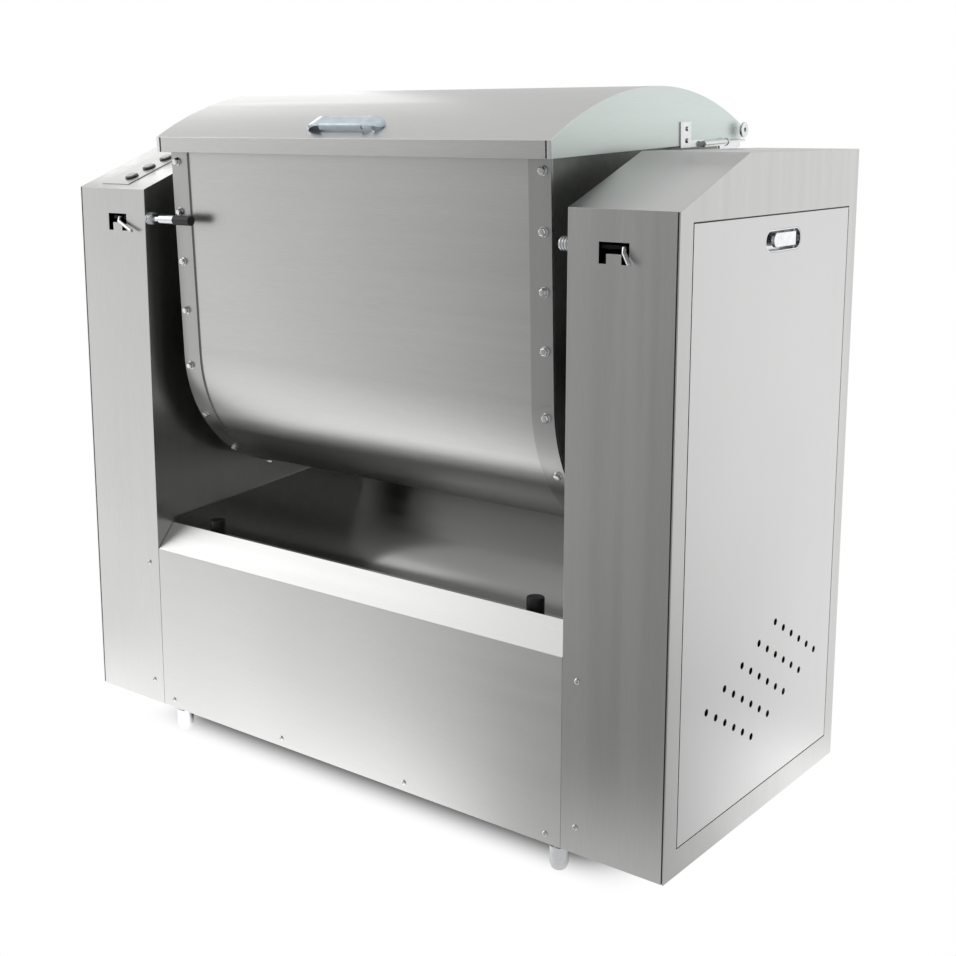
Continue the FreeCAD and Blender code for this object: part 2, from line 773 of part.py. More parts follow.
def panel_screws():
    """Pan heads on the front panel and on the pillars' fronts."""
    screws = []
    span = s.bay - s.panel_screw_inset
    places = [(share * span, s.panel_screw_height) for share in (-1, -1 / 3, 1 / 3, 1)]
    for side, sign in SIDES:
        for count in range(2):
            places.append((sign * (s.bay + s.pillar_screw_inset),
                           s.pillar_screw_low + count * s.pillar_screw_pitch))
    for index, (x, z) in enumerate(places):
        screws.append(rod("panel_screw_%d" % index, "y", "screw_radius", "-half_depth - screw_head",
                          "-half_depth", x, z))
    fixed(group("panel_screws", screws), "panel_screws")


def trunnion_bearings():
    """Flanged bearing rings on the pillars' inner walls; the trough's trunnions turn in them."""
    rings = []
    for side, sign in SIDES:
        low = s.sheet + s.bay
        bore = s.trunnion_radius + s.running_clearance
        step = low + s.bearing_flange
        end = low + s.bearing_length
        ring = turned(side + "_trunnion_bearing", [
            (sign * low, bore), (sign * low, s.bearing_flange_radius),
            (sign * step, s.bearing_flange_radius), (sign * step, s.bearing_hub_radius),
            (sign * end, s.bearing_nose_radius), (sign * end, bore)])
        move(ring, z="shaft_height")
        rings.append(ring)
    fixed(group("trunnion_bearings", rings), "trunnion_bearings")


def lock_bushes():
    """Guide bushes of the lock bolts, seated in the pillars' inner walls."""
    bushes = []
    wall = "bay"
    bore = "bolt_radius + running_clearance"
    for side, sign in SIDES:
        if sign > 0:
            spans = ((wall + " - bush_length", wall), (wall + " + sheet", wall + " + sheet + bush_seat"))
        else:
            spans = (("-(%s)" % wall, "bush_length - (%s)" % wall),
                     ("-(%s) - sheet - bush_seat" % wall, "-(%s) - sheet" % wall))
        for place, (low, high) in zip(("outer", "inner"), spans):
            name = "%s_%s_bush" % (side, place)
            if place == "outer":
                bushes.append(tube(name, "x", "bush_radius", bore, low, high, BOLT_Y, "bolt_height"))
            else:
                block = box(name + "_block", (low, high),
                            (BOLT_Y - s.bush_radius + s.sheet, BOLT_Y + s.bush_block_rear),
                            ("bolt_height - bush_block_half", "bolt_height + bush_block_half"))
                hole = rod(name + "_hole", "x", bore, low + " - 1", high + " + 1", BOLT_Y, "bolt_height")
                bushes.append(cut(name, block, hole))
    fixed(group("lock_bushes", bushes), "lock_bushes")


def lock_bolt(side, sign, tip, lever_place):
    """Round bolt with the lever that reaches out through the slot."""
    low, high = tip, tip + s.bolt_length
    if sign < 0:
        low, high = -high, -low
    shaft = rod(side + "_bolt_rod", "x", "bolt_radius", low, high, BOLT_Y, "bolt_height")
    lever = rod(side + "_bolt_lever", "y", "lever_radius", "bolt_behind_front - half_depth - lever_length",
                "bolt_behind_front - half_depth", sign * lever_place, "bolt_height")
    fixed(join(side + "_lock_bolt", [shaft, lever]), side + "_lock_bolt")


def u_outline(radius, thickness, rim):
    """Section of a round-bottomed trough wall."""
    inner, outer = radius, radius + thickness
    return [line((-outer, rim), (-outer, 0)), arc((-outer, 0), (0, -outer), (outer, 0)),
            line((outer, 0), (outer, rim)), line((outer, rim), (inner, rim)), line((inner, rim), (inner, 0)),
            arc((inner, 0), (0, -inner), (-inner, 0)), line((-inner, 0), (-inner, rim)),
            line((-inner, rim), (-outer, rim))]


def trough_shell():
    owner = body("trough_shell")
    pad(owner, sketch(owner, "YZ_Plane", "-trough_half_length",
                      u_outline(s.trough_radius, s.trough_sheet, s.trough_rim)), "2 * trough_half_length")
    on_trough(owner, "trough_shell")


def trough_bands():
    """Doubling straps round both ends of the trough; the flange bolts go through them."""
    bands = []
    for side, start in (("left", "-trough_half_length"), ("right", "trough_half_length - band_width")):
        owner = body(side + "_band")
        pad(owner, sketch(owner, "YZ_Plane", start, u_outline(s.trough_outer, s.band_thickness, s.trough_rim)),
            "band_width")
        bands.append(owner)
    on_trough(group("trough_bands", bands), "trough_bands")


def trough_end_plate(side, sign):
    """Thick end plate with the trunnion's bore and the seat of the shaft seal."""
    owner = body(side + "_end_plate")
    r = s.trough_radius
    outline = [line((-r, s.trough_rim), (-r, 0)), arc((-r, 0), (0, -r), (r, 0)), line((r, 0), (r, s.trough_rim)),
               line((r, s.trough_rim), (-r, s.trough_rim))]
    start = "trough_half_length - end_plate" if sign > 0 else "-trough_half_length"
    pad(owner, sketch(owner, "YZ_Plane", start, outline, circle(0, 0, s.seal_radius)), "end_plate")
    on_trough(owner, side + "_end_plate")


def shaft_seals():
    """Seal rings in the end plates round the agitator's shaft."""
    seals = []
    inner, outer = "trough_half_length - end_plate", "trough_half_length"
    for side, sign in SIDES:
        low, high = (inner, outer) if sign > 0 else ("-(%s)" % outer, "-(%s)" % inner)
        seals.append(tube(side + "_seal", "x", "seal_radius", "shaft_radius + running_clearance", low, high))
    on_trough(group("shaft_seals", seals), "shaft_seals")


def trunnion(side, sign):
    """Hollow trunnion flanged to the end plate; the shaft runs in the bush inside it."""
    face = s.trough_half_length
    inner = s.trunnion_bush_radius
    owner = turned(side + "_trunnion", [
        (sign * face, inner), (sign * face, s.trunnion_flange_radius),
        (sign * (face + s.trunnion_flange), s.trunnion_flange_radius),
        (sign * (face + s.trunnion_flange), s.trunnion_radius + s.trunnion_shoulder),
        (sign * (face + 2 * s.trunnion_flange), s.trunnion_radius),
        (sign * s.trunnion_end, s.trunnion_radius), (sign * s.trunnion_end, inner)])
    on_trough(owner, side + "_trunnion")


def trunnion_bushes():
    bushes = []
    inner, outer = "trough_half_length", "trunnion_end"
    for side, sign in SIDES:
        low, high = (inner, outer) if sign > 0 else ("-(%s)" % outer, "-(%s)" % inner)
        bushes.append(tube(side + "_trunnion_bush", "x", "trunnion_bush_radius",
                           "shaft_radius + running_clearance", low, high))
    on_trough(group("trunnion_bushes", bushes), "trunnion_bushes")


def trough_bolts():
    """Hexagon bolts with washers, square to the bands all round both ends."""
    head = s.flange_bolt_radius
    washer = Part.makeCylinder(s.washer_radius, s.washer_thickness)
    corners = [vector(head * math.cos(math.radians(60 * k)), head * math.sin(math.radians(60 * k)),
                      s.washer_thickness) for k in range(7)]
    hexagon = Part.Face(Part.makePolygon(corners)).extrude(vector(0, 0, s.flange_bolt_head))
    bolt = washer.fuse(hexagon).removeSplitter()
    first = SOCKET_Z + s.flange_bolt_over_socket
    straight = [first + count * s.flange_bolt_pitch for count in (1, 0, -1, -2)]
    places = [(-s.band_outer, z, 90) for z in straight] + [(s.band_outer, z, -90) for z in straight]
    quarter = [s.flange_bolt_first_turn + count * (75 - s.flange_bolt_first_turn) / 3 for count in range(4)]
    for turn in quarter + [180 - turn for turn in reversed(quarter)]:
        angle = math.radians(180 + turn)
        places.append((s.band_outer * math.cos(angle), s.band_outer * math.sin(angle), 90 + turn))
    solids = []
    for sign in (-1, 1):
        x = sign * (s.trough_half_length - s.flange_bolt_inset)
        for y, z, turn in places:
            copy = bolt.copy()
            copy.Placement = FreeCAD.Placement(vector(x, y, z), FreeCAD.Rotation(vector(1, 0, 0), turn))
            solids.append(copy)
    item = doc.addObject("Part::Feature", "trough_bolts")
    item.Shape = Part.makeCompound(solids)
    on_trough(item, "trough_bolts")


def lock_socket():
    """Socket of the left lock bolt in front of the trough: a lug, a steel tube and a black cap."""
    start = "-trough_half_length - socket_reach"
    end = "socket_tube - trough_half_length - socket_reach"
    sleeve = rod("socket_sleeve", "x", "socket_radius", start, end, SOCKET_Y, SOCKET_Z)
    lug = box("socket_lug", ("-trough_half_length", end), (SOCKET_Y, -s.band_outer),
              (SOCKET_Z - s.socket_lug_half, SOCKET_Z + s.socket_lug_half))
    hole = rod("socket_hole", "x", "bolt_radius + socket_play", start + " - 1", end + " + 1",
               SOCKET_Y, SOCKET_Z)
    on_trough(cut("lock_socket", join("socket_body", [sleeve, lug]), hole), "lock_socket")
    cap = rod("socket_cap_bar", "x", "socket_radius", end, end + " + socket_cap", SOCKET_Y, SOCKET_Z)
    on_trough(group("lock_socket_cap", [cap]), "lock_socket_cap")


def lid_arc(inset):
    """The lid's curved top: its centre and radius, set in by a sheet."""
    half = (s.lid_front + s.lid_rear) / 2
    rise = s.lid_crown - s.lid_edge
    radius = (half * half + rise * rise) / (2 * rise)
    middle = (s.lid_rear - s.lid_front) / 2
    return middle, s.lid_crown - radius, radius - inset


def lid_surface(y, inset=0):
    middle, centre, radius = lid_arc(inset)
    return centre + math.sqrt(radius * radius - (y - middle) ** 2)


def lid_outline(inset):
    """The lid's section: straight skirts and a curved top."""
    front, rear = inset - s.lid_front, s.lid_rear - inset
    middle = (s.lid_rear - s.lid_front) / 2
    return (front, lid_surface(front, inset)), (middle, s.lid_crown - inset), (rear, lid_surface(rear, inset))


def lid_shell():
    out_front, out_top, out_rear = lid_outline(0)
    in_front, in_top, in_rear = lid_outline(s.lid_sheet)
    low = s.lid_low
    outline = [line((out_front[0], low), out_front), arc(out_front, out_top, out_rear),
               line(out_rear, (out_rear[0], low)), line((out_rear[0], low), (in_rear[0], low)),
               line((in_rear[0], low), in_rear), arc(in_rear, in_top, in_front),
               line(in_front, (in_front[0], low)), line((in_front[0], low), (out_front[0], low))]
    owner = body("lid_shell")
    pad(owner, sketch(owner, "YZ_Plane", "lid_sheet - lid_half_length", outline),
        "2 * lid_half_length - 2 * lid_sheet")
    on_trough(owner, "lid_shell")


def lid_pads():
    """Four rubber pads under the lid, over the trough's rim."""
    low = s.trough_rim + s.pad_gap
    pads = []
    for place, edge in (("front", -1), ("rear", 1)):
        near, far = sorted((edge * s.trough_radius - s.pad_width / 2, edge * s.trough_radius + s.pad_width / 2))
        middle = (near + far) / 2
        corners = [(y, lid_surface(y, s.lid_sheet)) for y in (near, middle, far)]
        outline = [line((near, low), (far, low)), line((far, low), corners[2]), arc(corners[2], corners[1], corners[0]),
                   line(corners[0], (near, low))]
        for side, sign in SIDES:
            owner = body("%s_%s_pad" % (side, place))
            pad(owner, sketch(owner, "YZ_Plane", "%d * pad_spread - pad_length / 2" % sign, outline), "pad_length")
            pads.append(owner)
    on_trough(group("lid_pads", pads), "lid_pads")


def lid_end_walls():
    front, top, rear = lid_outline(0)
    low = s.lid_low
    outline = [line((front[0], low), front), arc(front, top, rear), line(rear, (rear[0], low)),
               line((rear[0], low), (front[0], low))]
    walls = []
    for side, start in (("left", "-lid_half_length"), ("right", "lid_half_length - lid_sheet")):
        owner = body(side + "_lid_wall")
        pad(owner, sketch(owner, "YZ_Plane", start, outline), "lid_sheet")
        walls.append(owner)
    on_trough(group("lid_end_walls", walls), "lid_end_walls")


def lid_handle():
    """Low bridge handle square to the lid's front slope, its front edge turned down to a lip."""
    middle, centre, radius = lid_arc(0)
    y = -s.handle_from_axis
    z = lid_surface(y)
    lean = math.degrees(math.atan2(middle - y, z - centre))
    half, rise, wall, foot = s.handle_half, s.handle_rise, s.handle_wall, s.handle_foot
    shoulder, knee = half - s.handle_shoulder, half - s.handle_knee
    inner_foot, inner_shoulder, inner_knee = half - 2 * wall, shoulder - wall / 2, knee - 1.5 * wall
    profile = [line((-half, 0), (-half, foot)), arc((-half, foot), (-knee, rise - wall), (-shoulder, rise)),
               line((-shoulder, rise), (shoulder, rise)),
               arc((shoulder, rise), (knee, rise - wall), (half, foot)),
               line((half, foot), (half, 0)), line((half, 0), (inner_foot, 0)),
               arc((inner_foot, 0), (inner_knee, rise - 2 * wall), (inner_shoulder, rise - wall)),
               line((inner_shoulder, rise - wall), (-inner_shoulder, rise - wall)),
               arc((-inner_shoulder, rise - wall), (-inner_knee, rise - 2 * wall), (-inner_foot, 0)),
               line((-inner_foot, 0), (-half, 0))]
    bow = body("handle_bow")
    pad(bow, sketch(bow, "XZ_Plane", "-handle_width / 2", profile), "handle_width")
    lip = rectangle(-inner_shoulder, inner_shoulder, s.handle_lip_gap, rise - wall / 2)
    strap = pad(bow, sketch(bow, "XZ_Plane", "handle_width / 2 - handle_lip", lip), "handle_lip")
    doc.recompute()
    edges = []
    for number, edge in enumerate(strap.Shape.Edges, 1):
        box_of_edge = edge.BoundBox
        on_top = min(abs(box_of_edge.ZMax - rise), abs(box_of_edge.ZMin - rise)) < s.running_clearance
        across = box_of_edge.YLength < s.running_clearance
        if on_top and across and box_of_edge.XLength > wall:
            edges.append("Edge%d" % number)
    rounding = bow.newObject("PartDesign::Fillet", "handle_rounding")
    rounding.Base = (strap, edges)
    rounding.setExpression("Radius", formula("handle_wall / 2"))
    plan = body("handle_plan")
    pad(plan, sketch(plan, "XY_Plane", -1, stadium(0, 0, 2 * half, s.handle_width)), "2 * handle_rise")
    item = doc.addObject("Part::MultiCommon", "lid_handle")
    item.Shapes = [bow, plan]
    tilt = FreeCAD.Rotation(vector(1, 0, 0), s.rest_tilt)
    spot = tilt.multVec(vector(0, y, z))
    item.Placement = FreeCAD.Placement(spot + vector(0, 0, s.foot_height + s.shaft_height),
                                       FreeCAD.Rotation(vector(1, 0, 0), lean + s.rest_tilt))
    node(item, "lid_handle")


def lid_hinges():
    """Two hinges behind the lid: cheeks with a pin on the trough, a knuckle on the lid."""
    y, z = s.hinge_from_axis, s.hinge_height
    arm_top = s.lid_low - s.hinge_arm_drop
    lugs = []
    pins = []
    knuckles = []
    for side, sign in SIDES:
        x = sign * s.hinge_centre
        r = s.hinge_radius
        outline = [(s.band_outer, arm_top - s.hinge_arm_height), (s.band_outer, arm_top), (y - 1.2 * r, arm_top),
                   (y - r, z), (y, z + r), (y + r, z), (y + r, arm_top - r), (y - r / 2, arm_top - 2 * r)]
        for edge in (-1, 1):
            inner = s.hinge_half + s.hinge_gap
            start = x + (inner if edge > 0 else -inner - s.hinge_cheek)
            owner = body("%s_cheek_%s" % (side, "outer" if edge > 0 else "inner"))
            pad(owner, sketch(owner, "YZ_Plane", start, lines(outline),
                              circle(y, z, s.hinge_pin_radius)), "hinge_cheek")
            lugs.append(owner)
        reach = s.hinge_half + s.hinge_gap + s.hinge_cheek
        pins.append(rod(side + "_hinge_pin", "x", "hinge_pin_radius", x - reach - s.hinge_pin_end,
                        x + reach + s.hinge_pin_end, y, z))
        plate = box(side + "_knuckle_plate", (x - s.hinge_half, x + s.hinge_half), ("lid_rear", y),
                    (z - s.hinge_plate_half, z + s.hinge_plate_half))
        barrel = rod(side + "_knuckle_barrel", "x", "hinge_radius", x - s.hinge_half, x + s.hinge_half, y, z)
        hole = rod(side + "_knuckle_hole", "x", "hinge_pin_radius + running_clearance", x - s.hinge_half - 1,
                   x + s.hinge_half + 1, y, z)
        knuckles.append(cut(side + "_knuckle", join(side + "_knuckle_blank", [plate, barrel]), hole))
    on_trough(group("lid_hinge_lugs", lugs), "lid_hinge_lugs")
    on_trough(group("lid_hinge_pins", pins), "lid_hinge_pins")
    on_trough(group("lid_hinge_knuckles", knuckles), "lid_hinge_knuckles")


def lid_side_rod():
    """Bracket with two screws and a stepped rod on the lid's right end wall."""
    wall = "lid_half_length"
    low = s.lid_low
    near = s.rod_plate_start
    far = near + s.rod_plate_length
    foot = low - s.rod_plate_drop
    plate = box("rod_bracket_plate", (wall, wall + " + sheet"), (near, far), (foot, low + s.rod_plate_height))
    arm = box("rod_bracket_arm", (wall, wall + " + sheet"), (far, far + s.rod_arm_length),
              (foot, low + s.rod_arm_height))
    screws = [rod("rod_bracket_screw", "x", "rod_screw_radius", wall + " + sheet", wall + " + sheet + screw_head",
                  far - 3 * s.rod_screw_radius, low + 2 * s.rod_screw_radius + count * s.rod_screw_pitch)
              for count in range(2)]
    beside = wall + " + rod_radius + rod_offset"
    start = far + s.rod_arm_length - 2 * s.rod_radius + s.rod_offset
    step = start + s.rod_length
    shoulder = step + s.rod_collar
    barrel = rod("rod_barrel", "y", "rod_radius", start, step, beside, low)
    collar = rod("rod_collar", "y", "rod_collar_radius", step, shoulder, beside, low)
    tail = rod("rod_tail", "y", "rod_tail_radius", shoulder, shoulder + s.rod_tail, beside, low)
    on_trough(join("lid_side_rod", [plate, arm] + screws + [barrel, collar, tail]), "lid_side_rod")


def agitator():
    """Shaft, three pairs of arms and two helical blades."""
    radius, edge = s.shaft_radius, s.shaft_chamfer
    start = -s.trunnion_end - s.shaft_past_end
    end = s.gear_start + s.gear_face + s.shaft_past_end
    on_shaft(turned("agitator_shaft", [
        (start, 0), (start, radius - edge), (start + edge, radius), (end - edge, radius), (end, radius - edge),
        (end, 0)]), "agitator_shaft")
    arms = []
    half_turn = math.pi
    length = 2 * s.blade_half_length
    for name, share in (("left", 0.0), ("middle", 0.5), ("right", 1.0)):
        x = (share - 0.5) * length
        hub = rod(name + "_hub", "x", "hub_radius", "%s - hub_length / 2" % x, "%s + hub_length / 2" % x)
        reach = s.blade_circle - s.blade_radius - s.seam_gap
        bar = box(name + "_arm", (x - s.arm_thickness / 2, x + s.arm_thickness / 2),
                  (-s.arm_width / 2, s.arm_width / 2), (-reach, reach))
        blank = join(name + "_arm_blank", [hub, bar])
        blank.Placement.Rotation = FreeCAD.Rotation(vector(1, 0, 0), math.degrees(share * half_turn))
        arms.append(cut(name + "_arms", blank, rod(name + "_arm_hole", "x", "shaft_radius",
                                                   x - s.hub_length, x + s.hub_length)))
    on_shaft(group("agitator_arms", arms), "agitator_arms")
    helix = Part.makeHelix(2 * length, length, s.blade_circle)
    start = vector(s.blade_circle, 0, 0)
    lead = vector(0, 2 * math.pi * s.blade_circle, 2 * length)
    ring = Part.Wire(Part.makeCircle(s.blade_radius, start, lead))
    blade = Part.Wire(helix).makePipeShell([ring], True, True)
    blades = []
    for turn in (0, 180):
        copy = blade.copy()
        copy.rotate(vector(0, 0, 0), vector(0, 0, 1), turn)
        copy.rotate(vector(0, 0, 0), vector(0, 1, 0), 90)
        copy.translate(vector(-s.blade_half_length, 0, 0))
        blades.append(copy)
    item = doc.addObject("Part::Feature", "agitator_blades")
    item.Shape = Part.makeCompound(blades)
    on_shaft(item, "agitator_blades")


PRESSURE_ANGLE = 20


def involute(angle):
    return math.tan(angle) - angle


def gear_wheel(label, teeth, bore, phase):
    """Spur gear with involute flanks, thinned by the backlash."""
    pitch = s.gear_module * teeth / 2
    base = pitch * math.cos(math.radians(PRESSURE_ANGLE))
    tip = pitch + s.gear_module
    root = pitch - 1.25 * s.gear_module
    half_tooth = (math.pi * s.gear_module / 2 - s.backlash) / 2 / pitch
    at_pitch = involute(math.radians(PRESSURE_ANGLE))
    radii = [max(base, root), pitch, (pitch + tip) / 2, tip]
    flank = []
    for radius in radii:
        pressure = math.acos(min(1.0, base / radius))
        flank.append((radius, half_tooth + at_pitch - involute(pressure)))
    flank.insert(0, (root, flank[0][1]))
    points = []
    for tooth in range(teeth):
        centre = phase + 2 * math.pi * tooth / teeth
        for radius, angle in flank:
            points.append(vector(0, radius * math.cos(centre - angle), radius * math.sin(centre - angle)))
        for radius, angle in reversed(flank):
            points.append(vector(0, radius * math.cos(centre + angle), radius * math.sin(centre + angle)))
    rim = Part.Face(Part.makePolygon(points + points[:1]))
    solid = rim.extrude(vector(s.gear_face, 0, 0))
    solid = solid.cut(Part.makeCylinder(bore, s.gear_face, vector(0, 0, 0), vector(1, 0, 0)))
    item = doc.addObject("Part::Feature", label)
    item.Shape = solid
    return item


def drive():
    """Main gear, countershaft with pinion and pulley, motor and belts in the right pillar."""
    drop = COUNTERSHAFT_DROP
    down = -math.pi / 2
    main = gear_wheel("main_gear", s.gear_teeth, s.shaft_radius, down)
    move(main, "gear_start", 0, "foot_height + shaft_height")
    node(main, "main_gear")
    pinion = gear_wheel("drive_pinion", s.pinion_teeth, s.countershaft_radius,
                        math.pi / 2 + math.pi / s.pinion_teeth)
    move(pinion, "gear_start", 0, "foot_height + shaft_height - %s" % drop)
    node(pinion, "drive_pinion")
    wall = s.bay + s.sheet
    counter_z = "foot_height + shaft_height - %s" % drop
    bore = s.countershaft_radius + s.running_clearance
    step = wall + s.bearing_flange
    nose = s.pulley_start - s.pulley_gap
    cartridge = turned("countershaft_bearing", [
        (wall, bore), (wall, s.countershaft_flange_radius), (step, s.countershaft_flange_radius),
        (step, s.countershaft_hub_radius), (nose, s.countershaft_hub_radius), (nose, bore)])
    move(cartridge, z=counter_z)
    node(cartridge, "countershaft_bearing")
    near = wall + s.seam_gap
    far = s.gear_start + s.gear_face + s.countershaft_past_gear
    shaft = turned("countershaft", [(near, 0), (near, s.countershaft_radius), (far, s.countershaft_radius), (far, 0)])
    move(shaft, z=counter_z)
    node(shaft, "countershaft")
    large = turned("large_pulley", pulley_section(s.large_pulley_radius, s.countershaft_radius))
    move(large, z=counter_z)
    node(large, "large_pulley")
    small = turned("motor_pulley", pulley_section(s.small_pulley_radius, s.motor_shaft_radius))
    fixed(small, "motor_pulley")
    move(small, z="foot_height + motor_height")
    near = s.motor_end - s.motor_shaft_seat
    far = s.pulley_start + s.pulley_width + s.shaft_chamfer
    rotor = turned("motor_shaft", [(near, 0), (near, s.motor_shaft_radius), (far, s.motor_shaft_radius), (far, 0)])
    move(rotor, z="foot_height + motor_height")
    node(rotor, "motor_shaft")


def pulley_section(radius, bore):
    """Half section of a pulley with two belt grooves."""
    start, width = s.pulley_start, s.pulley_width
    groove = s.belt_depth + s.groove_spare
    points = [(start, bore), (start, radius)]
    for side in (-1, 1):
        x = start + (width + side * s.belt_pitch) / 2
        half = s.belt_width / 2 + s.button_fit
        points += [(x - half, radius), (x - half, radius - groove), (x + half, radius - groove), (x + half, radius)]
    return points + [(start + width, radius), (start + width, bore)]


def belt_wire(small, large, distance, x):
    """Closed line round two circles, the large one above the small one."""
    lean = math.asin((large - small) / distance)
    sides = []
    for sign in (1, -1):
        y, z = sign * math.cos(lean), -math.sin(lean)
        sides.append((vector(x, small * y, small * z), vector(x, large * y, distance + large * z)))
    (low_a, high_a), (low_b, high_b) = sides
    return Part.Wire([Part.makeLine(low_a, high_a),
                      Part.Arc(high_a, vector(x, 0, distance + large), high_b).toShape(),
                      Part.makeLine(high_b, low_b), Part.Arc(low_b, vector(x, 0, -small), low_a).toShape()])


def drive_belts():
    """Two belts that lie in the pulleys' grooves."""
    distance = s.shaft_height - COUNTERSHAFT_DROP - s.motor_height
    belts = []
    for side in (-1, 1):
        x = s.pulley_start + (s.pulley_width + side * s.belt_pitch - s.belt_width) / 2
        small = s.small_pulley_radius - s.belt_depth
        large = s.large_pulley_radius - s.belt_depth
        outer = Part.Face(belt_wire(small + s.belt_depth, large + s.belt_depth, distance, x))
        inner = Part.Face(belt_wire(small, large, distance, x))
        belts.append(outer.cut(inner).extrude(vector(s.belt_width, 0, 0)))
    item = doc.addObject("Part::Feature", "drive_belts")
    item.Shape = Part.makeCompound(belts)
    move(item, z="foot_height + motor_height")
    node(item, "drive_belts")


def motor():
    """Foot-mounted motor with cooling ribs, and the bracket under it."""
    start, end, radius = s.motor_start, s.motor_end, s.motor_radius
    core = radius - s.motor_core_step
    cowl = radius - s.motor_cowl_step
    bell = radius - s.motor_bell_step
    bore = s.motor_shaft_radius + s.running_clearance
    seat = end - s.motor_shaft_seat
    cowl_end = start + s.motor_cowl
    bell_start = end - s.motor_bell
    casing = turned("motor_casing", [
        (start, 0), (start, cowl - s.motor_cowl_step), (start + s.motor_cowl_step, cowl), (cowl_end, cowl),
        (cowl_end, core), (bell_start, core), (bell_start, bell), (end - s.motor_cone, bell),
        (end, radius - s.motor_cone_step), (end, bore), (seat, bore), (seat, 0)])
    ribs = []
    count = 20
    for index in range(count):
        rib = Part.makeBox(bell_start - cowl_end, s.rib_width, s.rib_height,
                           vector(cowl_end, -s.rib_width / 2, core - s.running_clearance))
        rib.rotate(vector(0, 0, 0), vector(1, 0, 0), 360 * (index + 0.5) / count)
        ribs.append(rib)
    doc.recompute()
    item = doc.addObject("Part::Feature", "motor")
    item.Shape = casing.Shape.multiFuse(ribs).removeSplitter()
    move(item, z="foot_height + motor_height")
    node(item, "motor")
    legs = []
    for name, x in (("near", start + s.saddle_inset), ("far", end - s.saddle_inset)):
        blank = box(name + "_saddle", (x - s.saddle_half, x + s.saddle_half),
                    ("-saddle_half_width", "saddle_half_width"),
                    ("rail + bracket_plate", "motor_height - motor_radius + saddle_wrap"))
        legs.append(cut(name + "_saddle_cut", blank, rod(name + "_saddle_bore", "x", "motor_radius",
                                                        x - 2 * s.saddle_half, x + 2 * s.saddle_half,
                                                        0, "motor_height")))
    reach = "half_depth - foot_inset_front + rail / 2"
    plate = box("motor_plate", (cowl_end - s.rib_height, bell_start), ("-(%s)" % reach, reach),
                ("rail", "rail + bracket_plate"))
    fixed(join("motor_bracket", [plate] + legs), "motor_bracket")


def electrical_box():
    """Closed box for the switchgear on the left pillar's inner wall."""
    wall = "-bay - sheet"
    case = box("electrical_case", (wall + " - case_depth", wall), ("-case_half", "case_half"),
               ("case_high - case_height", "case_high"))
    fixed(group("electrical_box", [case]), "electrical_box")


def control_panel():
    """Plate on the left pillar's slope with three push buttons in their rings."""
    left = s.plate_from_side - s.half_width
    middle = left + s.button_row
    frame = FreeCAD.Rotation(vector(1, 0, 0), math.degrees(SLOPE))
    base_y, base_z = slope_point(0)
    pose = FreeCAD.Placement(vector(0, base_y, base_z + s.foot_height), frame)
    runs = [s.button_first + index * s.button_pitch for index in range(3)]
    start = s.plate_from_front
    thick = s.plate_thickness
    plate = box("control_plate_blank", (left, left + s.plate_width), (start, start + s.plate_run), (0, thick))
    holes = [rod("plate_hole", "z", "button_radius", "-plate_thickness", "2 * plate_thickness", middle, run) for run in runs]
    item = cut("control_plate", plate, *holes)
    item.Placement = pose
    node(item, "control_plate")
    bore = s.button_radius - s.button_ring
    rings = []
    for run in runs:
        sleeve = rod("ring_sleeve", "z", "button_radius", 0, s.button_height, middle, run)
        hollow = rod("ring_bore", "z", bore, "button_floor", "2 * button_height", middle, run)
        rings.append(cut("button_ring_part", sleeve, hollow))
    item = group("button_rings", rings)
    item.Placement = pose
    node(item, "button_rings")
    for name, run in zip(("start_button", "stop_button", "jog_button"), runs):
        cap = rod(name, "z", bore - s.button_fit, "button_seat", "button_height + button_stand", middle, run)
        spot = pose.multVec(vector(middle, run, s.button_seat))
        cap.setExpression("Placement.Base.x", None)
        cap.setExpression("Placement.Base.y", None)
        cap.setExpression("Placement.Base.z", None)
        cap.Placement = FreeCAD.Placement(spot, frame)
        node(cap, name)


for side_name, side_sign in SIDES:
    pillar_shell(side_name, side_sign)
    side_door(side_name, side_sign)
    latch(side_name, side_sign)
    trough_end_plate(side_name, side_sign)
    trunnion(side_name, side_sign)
lock_bolt("left", -1, s.left_bolt_tip, s.left_lever)
lock_bolt("right", 1, s.right_bolt_tip, s.right_lever)
door_pivot_pins()
base_frame()
levelling_feet()
front_panel()
catch_basin()
rear_panel()
basin_buffers()
panel_screws()
trunnion_bearings()
lock_bushes()
trough_shell()
trough_bands()
shaft_seals()
trunnion_bushes()
trough_bolts()
lock_socket()
lid_shell()
lid_pads()
lid_end_walls()
lid_handle()
lid_hinges()
lid_side_rod()
agitator()
drive()
drive_belts()
motor()
electrical_box()
control_panel()

doc.recompute()
for item in doc.Objects:
    if "Invalid" in item.State or "Error" in item.State:
        raise RuntimeError("object failed: " + item.Label)
for item in nodes:
    if item.Shape.isNull() or not item.Shape.isValid():
        raise RuntimeError("bad shape: " + item.Label)
os.makedirs("parts", exist_ok=True)
for item in nodes:
    item.Shape.exportStep(os.path.join("parts", item.Label + ".step"))
print(len(nodes), "nodes")
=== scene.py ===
import json
import math

import bmesh
import bpy
from bpy.props import FloatProperty, FloatVectorProperty, PointerProperty
from bpy.types import Operator, Panel, PropertyGroup
from mathutils import Matrix, Vector


